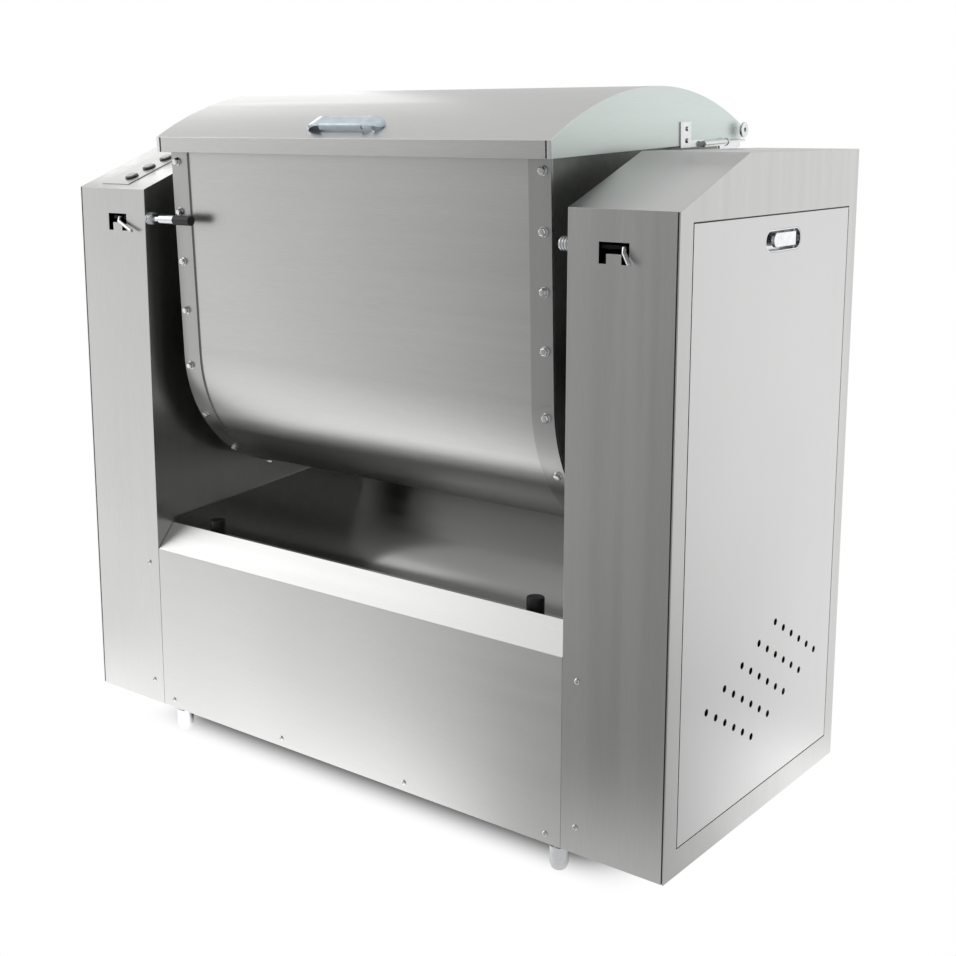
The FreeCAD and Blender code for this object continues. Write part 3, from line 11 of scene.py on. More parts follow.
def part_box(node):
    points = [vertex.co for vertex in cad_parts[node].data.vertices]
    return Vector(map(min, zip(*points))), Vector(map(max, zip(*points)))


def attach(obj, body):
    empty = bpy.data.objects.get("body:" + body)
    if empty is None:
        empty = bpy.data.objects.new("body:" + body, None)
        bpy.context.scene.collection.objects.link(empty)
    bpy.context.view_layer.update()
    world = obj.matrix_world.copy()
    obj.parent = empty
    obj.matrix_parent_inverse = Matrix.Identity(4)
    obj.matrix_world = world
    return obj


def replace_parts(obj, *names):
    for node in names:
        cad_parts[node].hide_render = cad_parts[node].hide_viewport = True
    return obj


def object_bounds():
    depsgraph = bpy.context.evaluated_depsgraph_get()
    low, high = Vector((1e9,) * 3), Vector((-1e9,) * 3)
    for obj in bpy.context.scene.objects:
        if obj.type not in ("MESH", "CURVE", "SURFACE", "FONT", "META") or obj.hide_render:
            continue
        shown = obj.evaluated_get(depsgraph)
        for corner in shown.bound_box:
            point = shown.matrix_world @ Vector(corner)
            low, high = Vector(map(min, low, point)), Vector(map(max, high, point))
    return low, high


bl_info = {
    "name": "Dough mixer dresser",
    "version": (1, 0, 0),
    "blender": (4, 5, 0),
    "location": "View3D > Sidebar > Mixer",
    "description": "Finishes the tilting trough dough mixer and sets its studio",
    "category": "Object",
}

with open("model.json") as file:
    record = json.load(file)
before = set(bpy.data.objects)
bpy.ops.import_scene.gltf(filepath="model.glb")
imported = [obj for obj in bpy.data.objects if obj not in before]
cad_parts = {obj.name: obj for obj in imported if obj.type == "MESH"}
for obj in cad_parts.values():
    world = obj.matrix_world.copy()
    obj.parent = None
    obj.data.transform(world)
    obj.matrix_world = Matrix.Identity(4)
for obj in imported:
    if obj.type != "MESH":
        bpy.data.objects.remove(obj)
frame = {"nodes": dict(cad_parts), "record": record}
CAD_BOX = [list(corner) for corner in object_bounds()]
BEHAVIOUR = frame["record"]["behaviour"]
BODY_OF = {node: body for body, nodes in BEHAVIOUR["bodies"].items() for node in nodes}
SLOT_OF = {entry["node"]: entry["material_slot"] for entry in frame["record"]["subparts"]}
SIDES = {"left": -1, "right": 1}

# The trough and the lid rest tilted forward by this angle, round the axis on which the trough turns.
REST_TILT = math.radians(2.2)
TROUGH_AXIS = next(joint["pos_m"] for joint in BEHAVIOUR["joints"] if joint["name"] == "trough_tilt")
TILT = Matrix.Translation(TROUGH_AXIS) @ Matrix.Rotation(REST_TILT, 4, "X")

# Corners of a CAD mesh nearer than JOINED are one, and faces that turn by less than LEVEL are one face.
JOINED = 0.00001
LEVEL = math.radians(0.4)
# Points of a turned or cut shape nearer than this are one.
TOUCHING = 0.000001
# Edges shorter than these stay sharp: on sheets and plates, on hinge pieces, and on other small pieces.
LONG_EDGE = 0.03
SHORT_EDGE = 0.003
TINY_EDGE = 0.0005


def colour(name, default, words):
    return FloatVectorProperty(name=name, description=words, subtype="COLOR", size=3, min=0, max=1,
                               default=default)


def length(name, default, words):
    return FloatProperty(name=name, description=words, subtype="DISTANCE", unit="LENGTH", min=0,
                         default=default)


class MixerFinishes(PropertyGroup):
    """Colours and surface values of the mixer's finishes."""
    casing: colour("Casing steel", (0.6, 0.6, 0.592), "Brushed sheet of the pillars and rear panel")
    door: colour("Door steel", (0.71, 0.712, 0.708), "Smooth brushed sheet of the side doors")
    trough: colour("Trough steel", (0.58, 0.58, 0.572), "Brushed sheet of the trough")
    panel: colour("Front panel steel", (0.66, 0.66, 0.652), "Matt brushed sheet of the front panel")
    lid: colour("Lid steel", (0.62, 0.618, 0.61), "Brushed sheet of the lid")
    lid_end: colour("Lid end steel", (0.76, 0.83, 0.8), "Pale end walls of the lid")
    # The basin's colour is painted much darker than its steel: painted shade of the hollow under the trough.
    basin: colour("Basin steel", (0.26, 0.26, 0.25), "Fine ground sheet of the basin")
    plate: colour("End plates", (0.3, 0.315, 0.3), "Dull machined end plates")
    bright: colour("Bright hardware", (0.7, 0.71, 0.72), "Bolts, feet, hinges and rods")
    chrome: colour("Plated parts", (0.62, 0.7, 0.76), "Handle of the lid")
    latch: colour("Latch plating", (0.8, 0.81, 0.82), "Bright plating of the latches and the lid's tabs")
    blackened: colour("Blackened steel", (0.02, 0.02, 0.021), "Inner ends of the lock bolts")
    machined: colour("Machined steel", (0.45, 0.45, 0.455), "Gears and shafts")
    bronze: colour("Bearing bronze", (0.45, 0.28, 0.1), "Bushes of the trunnions")
    rubber: colour("Black rubber", (0.012, 0.012, 0.013), "Buffers, pads and cap")
    seal: colour("Seal plastic", (0.7, 0.69, 0.64), "Seals of the agitator's shaft")
    frame_paint: colour("Frame paint", (0.2, 0.205, 0.21), "Base frame inside the casing")
    motor_paint: colour("Motor paint", (0.05, 0.11, 0.18), "Motor casing")
    box_paint: colour("Box paint", (0.38, 0.39, 0.4), "Electrical box")
    # Real rings round the push buttons, made black as painted shade beside the low buttons.
    ring: colour("Button rings", (0.03, 0.03, 0.032), "Black rings of the push buttons")
    button: colour("Buttons", (0.6, 0.6, 0.57), "Plain push buttons")
    grain: FloatProperty(name="Grain", description="Depth of the brushed grain's tone", subtype="FACTOR",
                         min=0, max=1, default=0.03)


class MixerSizes(PropertyGroup):
    """Sizes of the details added to the solids."""
    sheet_edge: length("Sheet edge", 0.0018, "Rounding of folded sheet edges")
    plate_edge: length("Plate edge", 0.001, "Rounding of the trough's end plates")
    thin_edge: length("Thin edge", 0.0006, "Rounding of the lid and of the trough's bands")
    small_edge: length("Small edge", 0.0005, "Rounding of machined edges")
    foot_edge: length("Foot edge", 0.0004, "Rounding of the levelling feet")
    bolt_flats: length("Bolt head", 0.0122, "Width across the flats of a flange bolt")
    screw_head: length("Screw head", 0.010, "Diameter of a panel screw")


class MixerStage(PropertyGroup):
    """Camera, lamps and floor."""
    lens: FloatProperty(name="Lens", description="Focal length of the camera", subtype="DISTANCE_CAMERA",
                        default=54.457)
    place: FloatVectorProperty(name="Place", description="Place of the camera", subtype="TRANSLATION",
                               unit="LENGTH", size=3, default=(1.68693, -2.08736, 1.19925))
    shift: FloatVectorProperty(name="Shift", description="Shift of the camera's picture", size=2,
                               default=(0.0084, -0.09))
    elevation: FloatProperty(name="Elevation", description="Camera pitch below the horizon", subtype="ANGLE",
                             default=math.radians(10.511))
    azimuth: FloatProperty(name="Azimuth", description="Camera angle round the mixer", subtype="ANGLE",
                           default=math.radians(37.926))
    key: FloatProperty(name="Key lamp", description="Power of the large lamp", subtype="POWER", unit="POWER",
                       default=38)
    rear: FloatProperty(name="Rear lamp", description="Power of the rear lamp", subtype="POWER", unit="POWER",
                        default=18)
    floor: FloatProperty(name="Floor", description="Tone of the pale floor", subtype="FACTOR", min=0, max=1,
                         default=0.9)
    contact: length("Contact shadow", 0.11, "Width of the shadow's soft edge to the front and the rear")


class Wiring:
    """Short ways to add and link the nodes of a material or of the world."""

    def __init__(self, tree):
        self.nodes = tree.nodes
        self.links = tree.links

    def feed(self, socket, value):
        """Link another node's output to an input, or set the input to a value."""
        if isinstance(value, bpy.types.NodeSocket):
            self.links.new(value, socket)
        else:
            socket.default_value = value

    def node(self, kind, feeds, **settings):
        """Add a node with its settings and with what its inputs are fed; gives its outputs."""
        item = self.nodes.new("ShaderNode" + kind)
        for name, value in settings.items():
            setattr(item, name, value)
        for socket, value in feeds.items():
            self.feed(item.inputs[socket], value)
        return item.outputs

    def maths(self, operation, *values):
        return self.node("Math", dict(enumerate(values)), operation=operation)[0]

    def remap(self, value, start, end, first, last, curve="LINEAR"):
        """Turn a value between start and end into one between first and last."""
        feeds = {"Value": value, "From Min": start, "From Max": end, "To Min": first, "To Max": last}
        return self.node("MapRange", feeds, interpolation_type=curve)["Result"]

    def white_to_camera(self, light, path):
        """A level of light that is white where the camera itself looks at it."""
        return self.node("Mix", {"Factor": path["Is Camera Ray"], "A": light, "B": 1})["Result"]


class Finish(Wiring):
    """A material with short ways to shade and set its surface."""

    # Nearly all values of a noise lie between these.
    NOISE_SPAN = (0.3, 0.7)

    def __init__(self, name):
        self.material = bpy.data.materials.new(name)
        self.material.use_nodes = True
        super().__init__(self.material.node_tree)
        self.shader = self.nodes["Principled BSDF"]
        self.place = self.node("TexCoord", {})["Object"]

    def set(self, **values):
        """Feed the shader's inputs, whose names have underscores for spaces here."""
        for socket, value in values.items():
            self.feed(self.shader.inputs[socket.replace("_", " ")], value)
        return self

    def noise(self, scale, stretch=(1, 1, 1), detail=3, roughness=0.55):
        """A noise whose pattern is drawn out along an axis with a small stretch value."""
        place = self.node("Mapping", {"Vector": self.place, "Scale": stretch})["Vector"]
        feeds = {"Vector": place, "Scale": scale, "Detail": detail, "Roughness": roughness}
        return self.node("TexNoise", feeds)["Fac"]

    def ramp(self, noise, first, last):
        """Spread a noise over the values from first to last."""
        return self.remap(noise, *self.NOISE_SPAN, first, last)

    def tint(self, factor, low, high):
        """Mix two colours by a factor."""
        feeds = {"Factor": factor, "A": (*low, 1), "B": (*high, 1)}
        return self.node("Mix", feeds, data_type="RGBA")["Result"]

    def scale_colour(self, tone, factor):
        return self.node("VectorMath", {0: tone, "Scale": factor}, operation="SCALE")["Vector"]

    def bump(self, height, strength, distance):
        return self.node("Bump", {"Height": height, "Strength": strength, "Distance": distance})["Normal"]


# Stretch of a noise's place that lays the grain along an axis.
GRAIN_STRETCH = {"x": (0.02, 1, 1), "y": (1, 0.02, 1), "z": (1, 1, 0.02)}


def shade(base, factor):
    return tuple(min(1.0, channel * factor) for channel in base)


def brushed(name, base, grain, roughness=0.3, strength=1.0, cloud=0.02, pull=0.0):
    """Brushed sheet steel: hair-fine scratches, soft bands along the grain and a little uneven gloss."""
    depth = bpy.context.scene.mixer_finishes.grain * strength
    item = Finish(name)
    fine = item.noise(1500, GRAIN_STRETCH[grain], detail=1, roughness=0.5)
    bands = item.noise(45, GRAIN_STRETCH[grain], detail=1, roughness=0.4)
    clouds = item.noise(3, detail=1)
    tone = item.tint(item.ramp(fine, 0, 1), shade(base, 1 - depth), shade(base, 1 + depth))
    tone = item.scale_colour(tone, item.ramp(bands, 1 - 0.5 * depth, 1 + 0.5 * depth))
    tone = item.scale_colour(tone, item.ramp(clouds, 1 - cloud, 1 + cloud))
    gloss = item.ramp(bands, roughness - 0.02 * strength, roughness + 0.03 * strength)
    item.set(Base_Color=tone, Roughness=gloss, Normal=item.bump(fine, strength=0.04, distance=0.0001))
    return item.set(Metallic=1.0, Anisotropic=pull).material


def metal(name, base, roughness, wear=0.08, scale=60):
    """Plain machined or plated metal with faint stains and a fine uneven gloss."""
    item = Finish(name)
    spots = item.noise(scale, detail=4)
    tone = item.tint(item.ramp(spots, 0, 1), shade(base, 1 - wear), shade(base, 1 + wear))
    gloss = item.ramp(item.noise(scale * 6), roughness - 0.04, roughness + 0.06)
    item.set(Base_Color=tone, Roughness=gloss, Normal=item.bump(spots, strength=0.05, distance=0.0002))
    return item.set(Metallic=1.0).material


def moulded(name, base, roughness, texture=500, bump=0.15):
    """Rubber, plastic or paint with a fine skin and slight fading."""
    item = Finish(name)
    fading = item.noise(14)
    skin = item.noise(texture, detail=2)
    tone = item.tint(item.ramp(fading, 0, 1), shade(base, 0.88), shade(base, 1.12))
    gloss = item.ramp(skin, roughness - 0.06, roughness + 0.06)
    item.set(Base_Color=tone, Roughness=gloss, Normal=item.bump(skin, strength=bump, distance=0.0003))
    return item.material


FINISHES = {}


def make_finishes():
    """A material for each slot of the record and for each variant of one, grained as the real sheets."""
    f = bpy.context.scene.mixer_finishes
    FINISHES.update({
        "stainless_panels": brushed("casing_steel", f.casing, "z", pull=0.4),
        "door_steel": brushed("door_steel", f.door, "z", roughness=0.34, strength=0.25, cloud=0.01, pull=0.4),
        "panel_steel": brushed("panel_steel", f.panel, "x", roughness=0.42, strength=0.7),
        # The shelf's finish is the panel's, painted lighter: a painted highlight where the shelf catches the
        # key lamp.
        "shelf_steel_painted_highlight": brushed("shelf_steel_painted_highlight", shade(f.panel, 1.22), "x", roughness=0.42, strength=0.7),
        "band_steel": brushed("band_steel", shade(f.trough, 0.78), "z"),
        "stainless_trough": brushed("trough_steel", f.trough, "x", strength=1.2),
        "stainless_lid": brushed("lid_steel", f.lid, "x", roughness=0.34, strength=1.2),
        "lid_end_steel": brushed("lid_end_steel", f.lid_end, "y", roughness=0.42, strength=0.6),
        # Basin finish with painted shade in its dark colour.
        "stainless_polished": brushed("basin_steel_painted_shade", f.basin, "x", roughness=0.2, cloud=0.04),
        "control_plate_steel": brushed("control_plate_steel", f.casing, "y"),
        "stainless_plate": metal("end_plate_steel", f.plate, 0.4),
        "bright_hardware": metal("bright_steel", f.bright, 0.18),
        "handle_chrome": metal("plated_metal", f.chrome, 0.2),
        "latch_plating": metal("latch_plating", f.latch, 0.2),
        "bolt_black": metal("blackened_steel", f.blackened, 0.4),
        "bolt_head": metal("bolt_head_steel", f.bright, 0.1, wear=0.04),
        "machined_steel": metal("machined_steel", f.machined, 0.28),
        "cast_pulley": metal("cast_iron", shade(f.machined, 0.4), 0.5, wear=0.15, scale=200),
        "bronze_bush": metal("bearing_bronze", f.bronze, 0.35),
        "black_rubber": moulded("black_rubber", f.rubber, 0.5),
        "belt_rubber": moulded("belt_rubber", shade(f.rubber, 1.4), 0.7, texture=900),
        "white_seal": moulded("seal_plastic", f.seal, 0.45),
        "frame_steel": moulded("frame_paint", f.frame_paint, 0.45),
        "motor_paint": moulded("motor_paint", f.motor_paint, 0.4, texture=300, bump=0.3),
        "grey_paint": moulded("box_paint", f.box_paint, 0.4),
        "ring_black": moulded("button_ring_painted_shade", f.ring, 0.35, texture=400, bump=0.05),
        "button_pale": moulded("button_plastic", f.button, 0.3, texture=400, bump=0.05),
    })


def finish_of(name):
    """A finish by name; all of them are made when the first is asked for."""
    if not FINISHES:
        make_finishes()
    return FINISHES[name]


def put(shape, name, node, slot_name, finish=None):
    """Turn a bmesh into a piece that rides on a CAD node's body and takes a slot's finish, or another one."""
    bmesh.ops.recalc_face_normals(shape, faces=shape.faces)
    mesh = bpy.data.meshes.new(name)
    shape.to_mesh(mesh)
    shape.free()
    piece = bpy.data.objects.new(name, mesh)
    bpy.context.collection.objects.link(piece)
    piece.data.materials.append(finish_of(finish or slot_name))
    even = piece.modifiers.new("even_shading", "WEIGHTED_NORMAL")
    even.keep_sharp = True
    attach(piece, BODY_OF[node])
    return piece


def coat(*nodes):
    """Give CAD pieces that keep their own shape the finish of their slot."""
    for node in nodes:
        piece = frame["nodes"][node]
        piece.data.materials.clear()
        piece.data.materials.append(finish_of(SLOT_OF[node]))


def cad_shape(node):
    """A copy of a CAD piece's mesh with its corners joined."""
    shape = bmesh.new()
    shape.from_mesh(frame["nodes"][node].data)
    bmesh.ops.remove_doubles(shape, verts=shape.verts, dist=JOINED)
    return shape


def solids_of(node):
    """Lowest and highest corner of each solid of a CAD piece."""
    shape = cad_shape(node)
    waiting, boxes = set(shape.verts), []
    while waiting:
        todo, group = [waiting.pop()], []
        while todo:
            vert = todo.pop()
            group.append(vert.co.copy())
            for edge in vert.link_edges:
                other = edge.other_vert(vert)
                if other in waiting:
                    waiting.discard(other)
                    todo.append(other)
        boxes.append((Vector([min(co[k] for co in group) for k in range(3)]),
                      Vector([max(co[k] for co in group) for k in range(3)])))
    shape.free()
    return sorted(boxes, key=lambda box: tuple(round(value, 4) for value in box[0]))


def smooth(shape, angle=28):
    """Smooth shading that breaks at edges sharper than an angle in degrees."""
    limit = math.radians(angle)
    for face in shape.faces:
        face.smooth = True
    for edge in shape.edges:
        edge.smooth = len(edge.link_faces) == 2 and edge.calc_face_angle(0) < limit


def rounded(shape, edges, width, segments=3):
    """Round some edges of a shape."""
    bmesh.ops.bevel(shape, geom=edges, offset=width, offset_type="OFFSET", segments=segments, profile=0.5,
                    affect="EDGES", material=-1, clamp_overlap=True)


def flattening(node, normal, share, above=0):
    """Matrix that presses a shape down to a CAD piece's foot, or a level above it, keeping a share."""
    foot = min(vert.co.dot(normal) for vert in frame["nodes"][node].data.vertices)
    base = normal * (foot + above)
    return Matrix.Translation(base) @ Matrix.Scale(share, 4, normal) @ Matrix.Translation(-base)


def eased(node, width=0, reach=LONG_EDGE, finish=None, angle=28, press=None):
    """Stand-in for a CAD piece: the same solid with its longer sharp edges rounded, and pressed if asked."""
    shape = cad_shape(node)
    bmesh.ops.dissolve_limit(shape, angle_limit=LEVEL, verts=shape.verts, edges=shape.edges)
    if press is not None:
        bmesh.ops.transform(shape, matrix=press, verts=shape.verts)
    if width > 0:
        sharp = [edge for edge in shape.edges
                 if len(edge.link_faces) == 2 and edge.calc_face_angle(0) > math.radians(angle)
                 and edge.calc_length() > reach]
        rounded(shape, sharp, width)
    smooth(shape, angle)
    piece = put(shape, node + "_finished", node, SLOT_OF[node], finish)
    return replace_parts(piece, node)


def only(kind, items):
    """The corners, edges or faces among the results of a mesh operator."""
    return [item for item in items if isinstance(item, kind)]


def facing(place, direction):
    """Matrix that moves a flat shape to a place and turns it to face a direction."""
    return Matrix.Translation(place) @ direction.to_track_quat("Z", "Y").to_matrix().to_4x4()


def turned(shape, outline, origin, axis, steps):
    """Turn an outline of (along the axis, radius) steps round an axis through a point."""
    axis = Vector(axis).normalized()
    side = axis.orthogonal().normalized()
    rail = [shape.verts.new(Vector(origin) + axis * along + side * radius) for along, radius in outline]
    edges = [shape.edges.new(pair) for pair in zip(rail, rail[1:])]
    bmesh.ops.spin(shape, geom=rail + edges, cent=origin, axis=axis, dvec=(0, 0, 0), angle=math.tau,
                   steps=steps, use_merge=True, use_normal_flip=False, use_duplicate=False)
    bmesh.ops.remove_doubles(shape, verts=shape.verts, dist=TOUCHING)


def ring(start, thickness, bore, radius, chamfer):
    """Outline for turned(): a ring with both outer rims chamfered."""
    end = start + thickness
    return ((start, bore), (start, radius - chamfer), (start + chamfer, radius), (end - chamfer, radius),
            (end, radius - chamfer), (end, bore), (start, bore))


def slab(shape, corner, other):
    """Rectangular block between two corners."""
    corner, other = Vector(corner), Vector(other)
    size = Matrix.Diagonal([abs(value) for value in other - corner]).to_4x4()
    bmesh.ops.create_cube(shape, size=1, matrix=Matrix.Translation((corner + other) / 2) @ size)


def bent_rod(shape, path, radius, sides=16):
    """Round bar along a few points, mitred at its corners and rounded at its far end."""
    points = [Vector(point) for point in path]
    ahead = [(after - before).normalized() for before, after in zip(points, points[1:])]
    headings = [ahead[0]] + [(one + two).normalized() for one, two in zip(ahead, ahead[1:])] + [ahead[-1]]
    verts = bmesh.ops.create_circle(shape, cap_ends=True, segments=sides, radius=radius,
                                    matrix=facing(points[0], ahead[0]))["verts"]
    edges = [edge for edge in shape.edges if edge.verts[0] in verts and edge.verts[1] in verts]
    for index in range(1, len(points)):
        grown = bmesh.ops.extrude_edge_only(shape, edges=edges)["geom"]
        edges = only(bmesh.types.BMEdge, grown)
        turn = headings[index - 1].rotation_difference(headings[index]).to_matrix().to_4x4()
        move = Matrix.Translation(points[index]) @ turn @ Matrix.Translation(-points[index - 1])
        bmesh.ops.transform(shape, matrix=move, verts=only(bmesh.types.BMVert, grown))
    cap = bmesh.ops.contextual_create(shape, geom=edges)["faces"]
    rounded(shape, [edge for face in cap for edge in face.edges], radius * 0.6)


class Step(Operator):
    """Base of the dresser's steps."""
    bl_options = {"REGISTER", "UNDO"}


class MIXER_OT_casing(Step):
    """Pillars, side doors, front and rear panels"""
    bl_idname = "mixer.casing"
    bl_label = "Casing"

    # The shelf, whose colour is painted lighter as a painted highlight, is the large face that looks forward
    # and up by more than this.
    SHELF_SLOPE = 0.2
    SHELF_AREA = 0.02

    # Black corner strip of a pillar, painted shade in its groove: from its side and its front inwards, from
    # its foot and top, and its rounding.
    STRIP_SIDE = (0.0044, 0.0021)
    STRIP_FRONT = (0.0003, 0.0011)
    STRIP_ENDS = (0.002, 0.001)
    STRIP_ROUND = 0.0003
    # Corners of a pillar this near its foremost point are on its front.
    FRONT_SKIN = 0.0005

    # Gasket of a door: its start and end beside the door, how far it lies behind the face, and its depth.
    GASKET_START, GASKET_END = 0.0003, 0.0017
    GASKET_BEHIND, GASKET_DEPTH = 0.001, 0.009

    def execute(self, context):
        sizes = context.scene.mixer_sizes
        for side in SIDES:
            eased(side + "_pillar_shell", sizes.sheet_edge)
            eased(side + "_side_door", sizes.sheet_edge / 2, finish="door_steel")
        self.paint_shelf_highlight(eased("front_panel", sizes.sheet_edge, finish="panel_steel"))
        eased("rear_panel", sizes.sheet_edge)
        coat("base_frame", "door_pivot_pins", "electrical_box")
        for side, sign in SIDES.items():
            self.seam(side, sign)
            self.gasket(side, sign)
        return {"FINISHED"}

    def paint_shelf_highlight(self, panel):
        """Lighter copy of the panel's finish on the sloping shelf: a painted highlight from the key lamp."""
        panel.data.materials.append(finish_of("shelf_steel_painted_highlight"))
        for face in panel.data.polygons:
            if min(-face.normal.y, face.normal.z) > self.SHELF_SLOPE and face.area > self.SHELF_AREA:
                face.material_index = 1

    def seam(self, side, sign):
        """Black strip in the groove down the outer front edge of a pillar: painted shade of the groove."""
        low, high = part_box(side + "_pillar_shell")
        side_face = high[0] if sign > 0 else -low[0]
        front = [vert.co.z for vert in frame["nodes"][side + "_pillar_shell"].data.vertices
                 if vert.co.y < low[1] + self.FRONT_SKIN]
        inner, outer = (sign * (side_face - distance) for distance in self.STRIP_SIDE)
        near, far = (low[1] + distance for distance in self.STRIP_FRONT)
        shape = bmesh.new()
        slab(shape, (inner, near, low[2] + self.STRIP_ENDS[0]), (outer, far, max(front) - self.STRIP_ENDS[1]))
        rounded(shape, shape.edges[:], self.STRIP_ROUND, segments=2)
        smooth(shape)
        put(shape, side + "_pillar_groove_shade", side + "_pillar_shell", "black_rubber")

    def gasket(self, side, sign):
        """Rubber gasket in the gap above a door and down both its sides."""
        low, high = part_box(side + "_side_door")
        face = (high[0] if sign > 0 else -low[0]) - self.GASKET_BEHIND
        near, far, top = low[1] - self.GASKET_END, high[1] + self.GASKET_END, high[2] + self.GASKET_END
        shape = bmesh.new()
        for corner, other in (((near, low[2]), (low[1] - self.GASKET_START, top)),
                              ((high[1] + self.GASKET_START, low[2]), (far, top)),
                              ((near, high[2] + self.GASKET_START), (far, top))):
            slab(shape, (sign * (face - self.GASKET_DEPTH), *corner), (sign * face, *other))
        smooth(shape)
        put(shape, side + "_door_gasket", side + "_pillar_shell", "black_rubber")


class MIXER_OT_trough(Step):
    """Trough, its bands and end plates"""
    bl_idname = "mixer.trough"
    bl_label = "Trough"

    def execute(self, context):
        sizes = context.scene.mixer_sizes
        eased("trough_shell")
        eased("trough_bands", sizes.thin_edge, finish="band_steel")
        for side in SIDES:
            eased(side + "_end_plate", sizes.plate_edge)
        for node in ("left_trunnion", "right_trunnion", "trunnion_bushes", "shaft_seals"):
            eased(node)
        return {"FINISHED"}


class MIXER_OT_lid(Step):
    """Lid, its handle, hinges and side rod"""
    bl_idname = "mixer.lid"
    bl_label = "Lid"

    # Share of its CAD height that the handle keeps.
    HANDLE_SHARE = 0.66

    # Tab and dark seam at the lid's front corners: slot, finish, start and end in X, and how proud they are.
    FOLDS = {"tab": ("stainless_lid", "latch_plating", 0.4372, 0.4447, 0.0006),
             "seam": ("black_rubber", "black_rubber", 0.4338, 0.4366, 0.0003)}
    # How deep they reach behind the lid's front, how far from its foot and top they end, and their rounding.
    FOLD_DEPTH = 0.0004
    FOLD_FOOT, FOLD_TOP = 0.0005, 0.0002
    FOLD_ROUND = 0.0002

    # Eye at the end of the side rod.
    EYE_PLACE = (0.4535, 0.2915, 1.1885)
    EYE = ring(0, thickness=0.0044, bore=0.0045, radius=0.0138, chamfer=0.0008)

    def execute(self, context):
        sizes = context.scene.mixer_sizes
        eased("lid_shell", sizes.thin_edge)
        eased("lid_end_walls", sizes.thin_edge)
        faces = frame["nodes"]["lid_handle"].data.polygons
        top = max(faces, key=lambda face: face.area * (face.normal.z > 0.5))
        press = flattening("lid_handle", top.normal.normalized(), self.HANDLE_SHARE)
        eased("lid_handle", angle=40, press=press)
        for node in ("lid_hinge_lugs", "lid_hinge_pins", "lid_hinge_knuckles", "lid_side_rod"):
            eased(node, sizes.small_edge, SHORT_EDGE)
        coat("lid_pads")
        self.rod_eye()
        for side, sign in SIDES.items():
            self.corner(side, sign)
        return {"FINISHED"}

    def corner(self, side, sign):
        """Folded tab of an end wall round the lid's front edge, with the dark seam beside it."""
        local = [TILT.inverted() @ vert.co for vert in frame["nodes"]["lid_shell"].data.vertices]
        front = min(place.y for place in local)
        rim = [place.z for place in local if place.y < front + self.FOLD_DEPTH]
        for name, (slot_name, finish, start, end, proud) in self.FOLDS.items():
            shape = bmesh.new()
            slab(shape, (sign * start, front - proud, min(rim) + self.FOLD_FOOT),
                 (sign * end, front + self.FOLD_DEPTH, max(rim) - self.FOLD_TOP))
            rounded(shape, shape.edges[:], self.FOLD_ROUND, segments=2)
            bmesh.ops.transform(shape, matrix=TILT, verts=shape.verts)
            smooth(shape)
            put(shape, side + "_lid_" + name, "lid_shell", slot_name, finish)

    def rod_eye(self):
        """Round eye where the side rod meets the rear of the lid."""
        shape = bmesh.new()
        turned(shape, self.EYE, self.EYE_PLACE, (1, 0, 0), steps=36)
        smooth(shape, angle=40)
        put(shape, "side_rod_eye", "lid_side_rod", "bright_hardware")


class MIXER_OT_basin(Step):
    """Catch basin and its rubber buffers"""
    bl_idname = "mixer.basin"
    bl_label = "Catch basin"

    def execute(self, context):
        eased("catch_basin")
        eased("basin_buffers", context.scene.mixer_sizes.sheet_edge, TINY_EDGE)
        return {"FINISHED"}


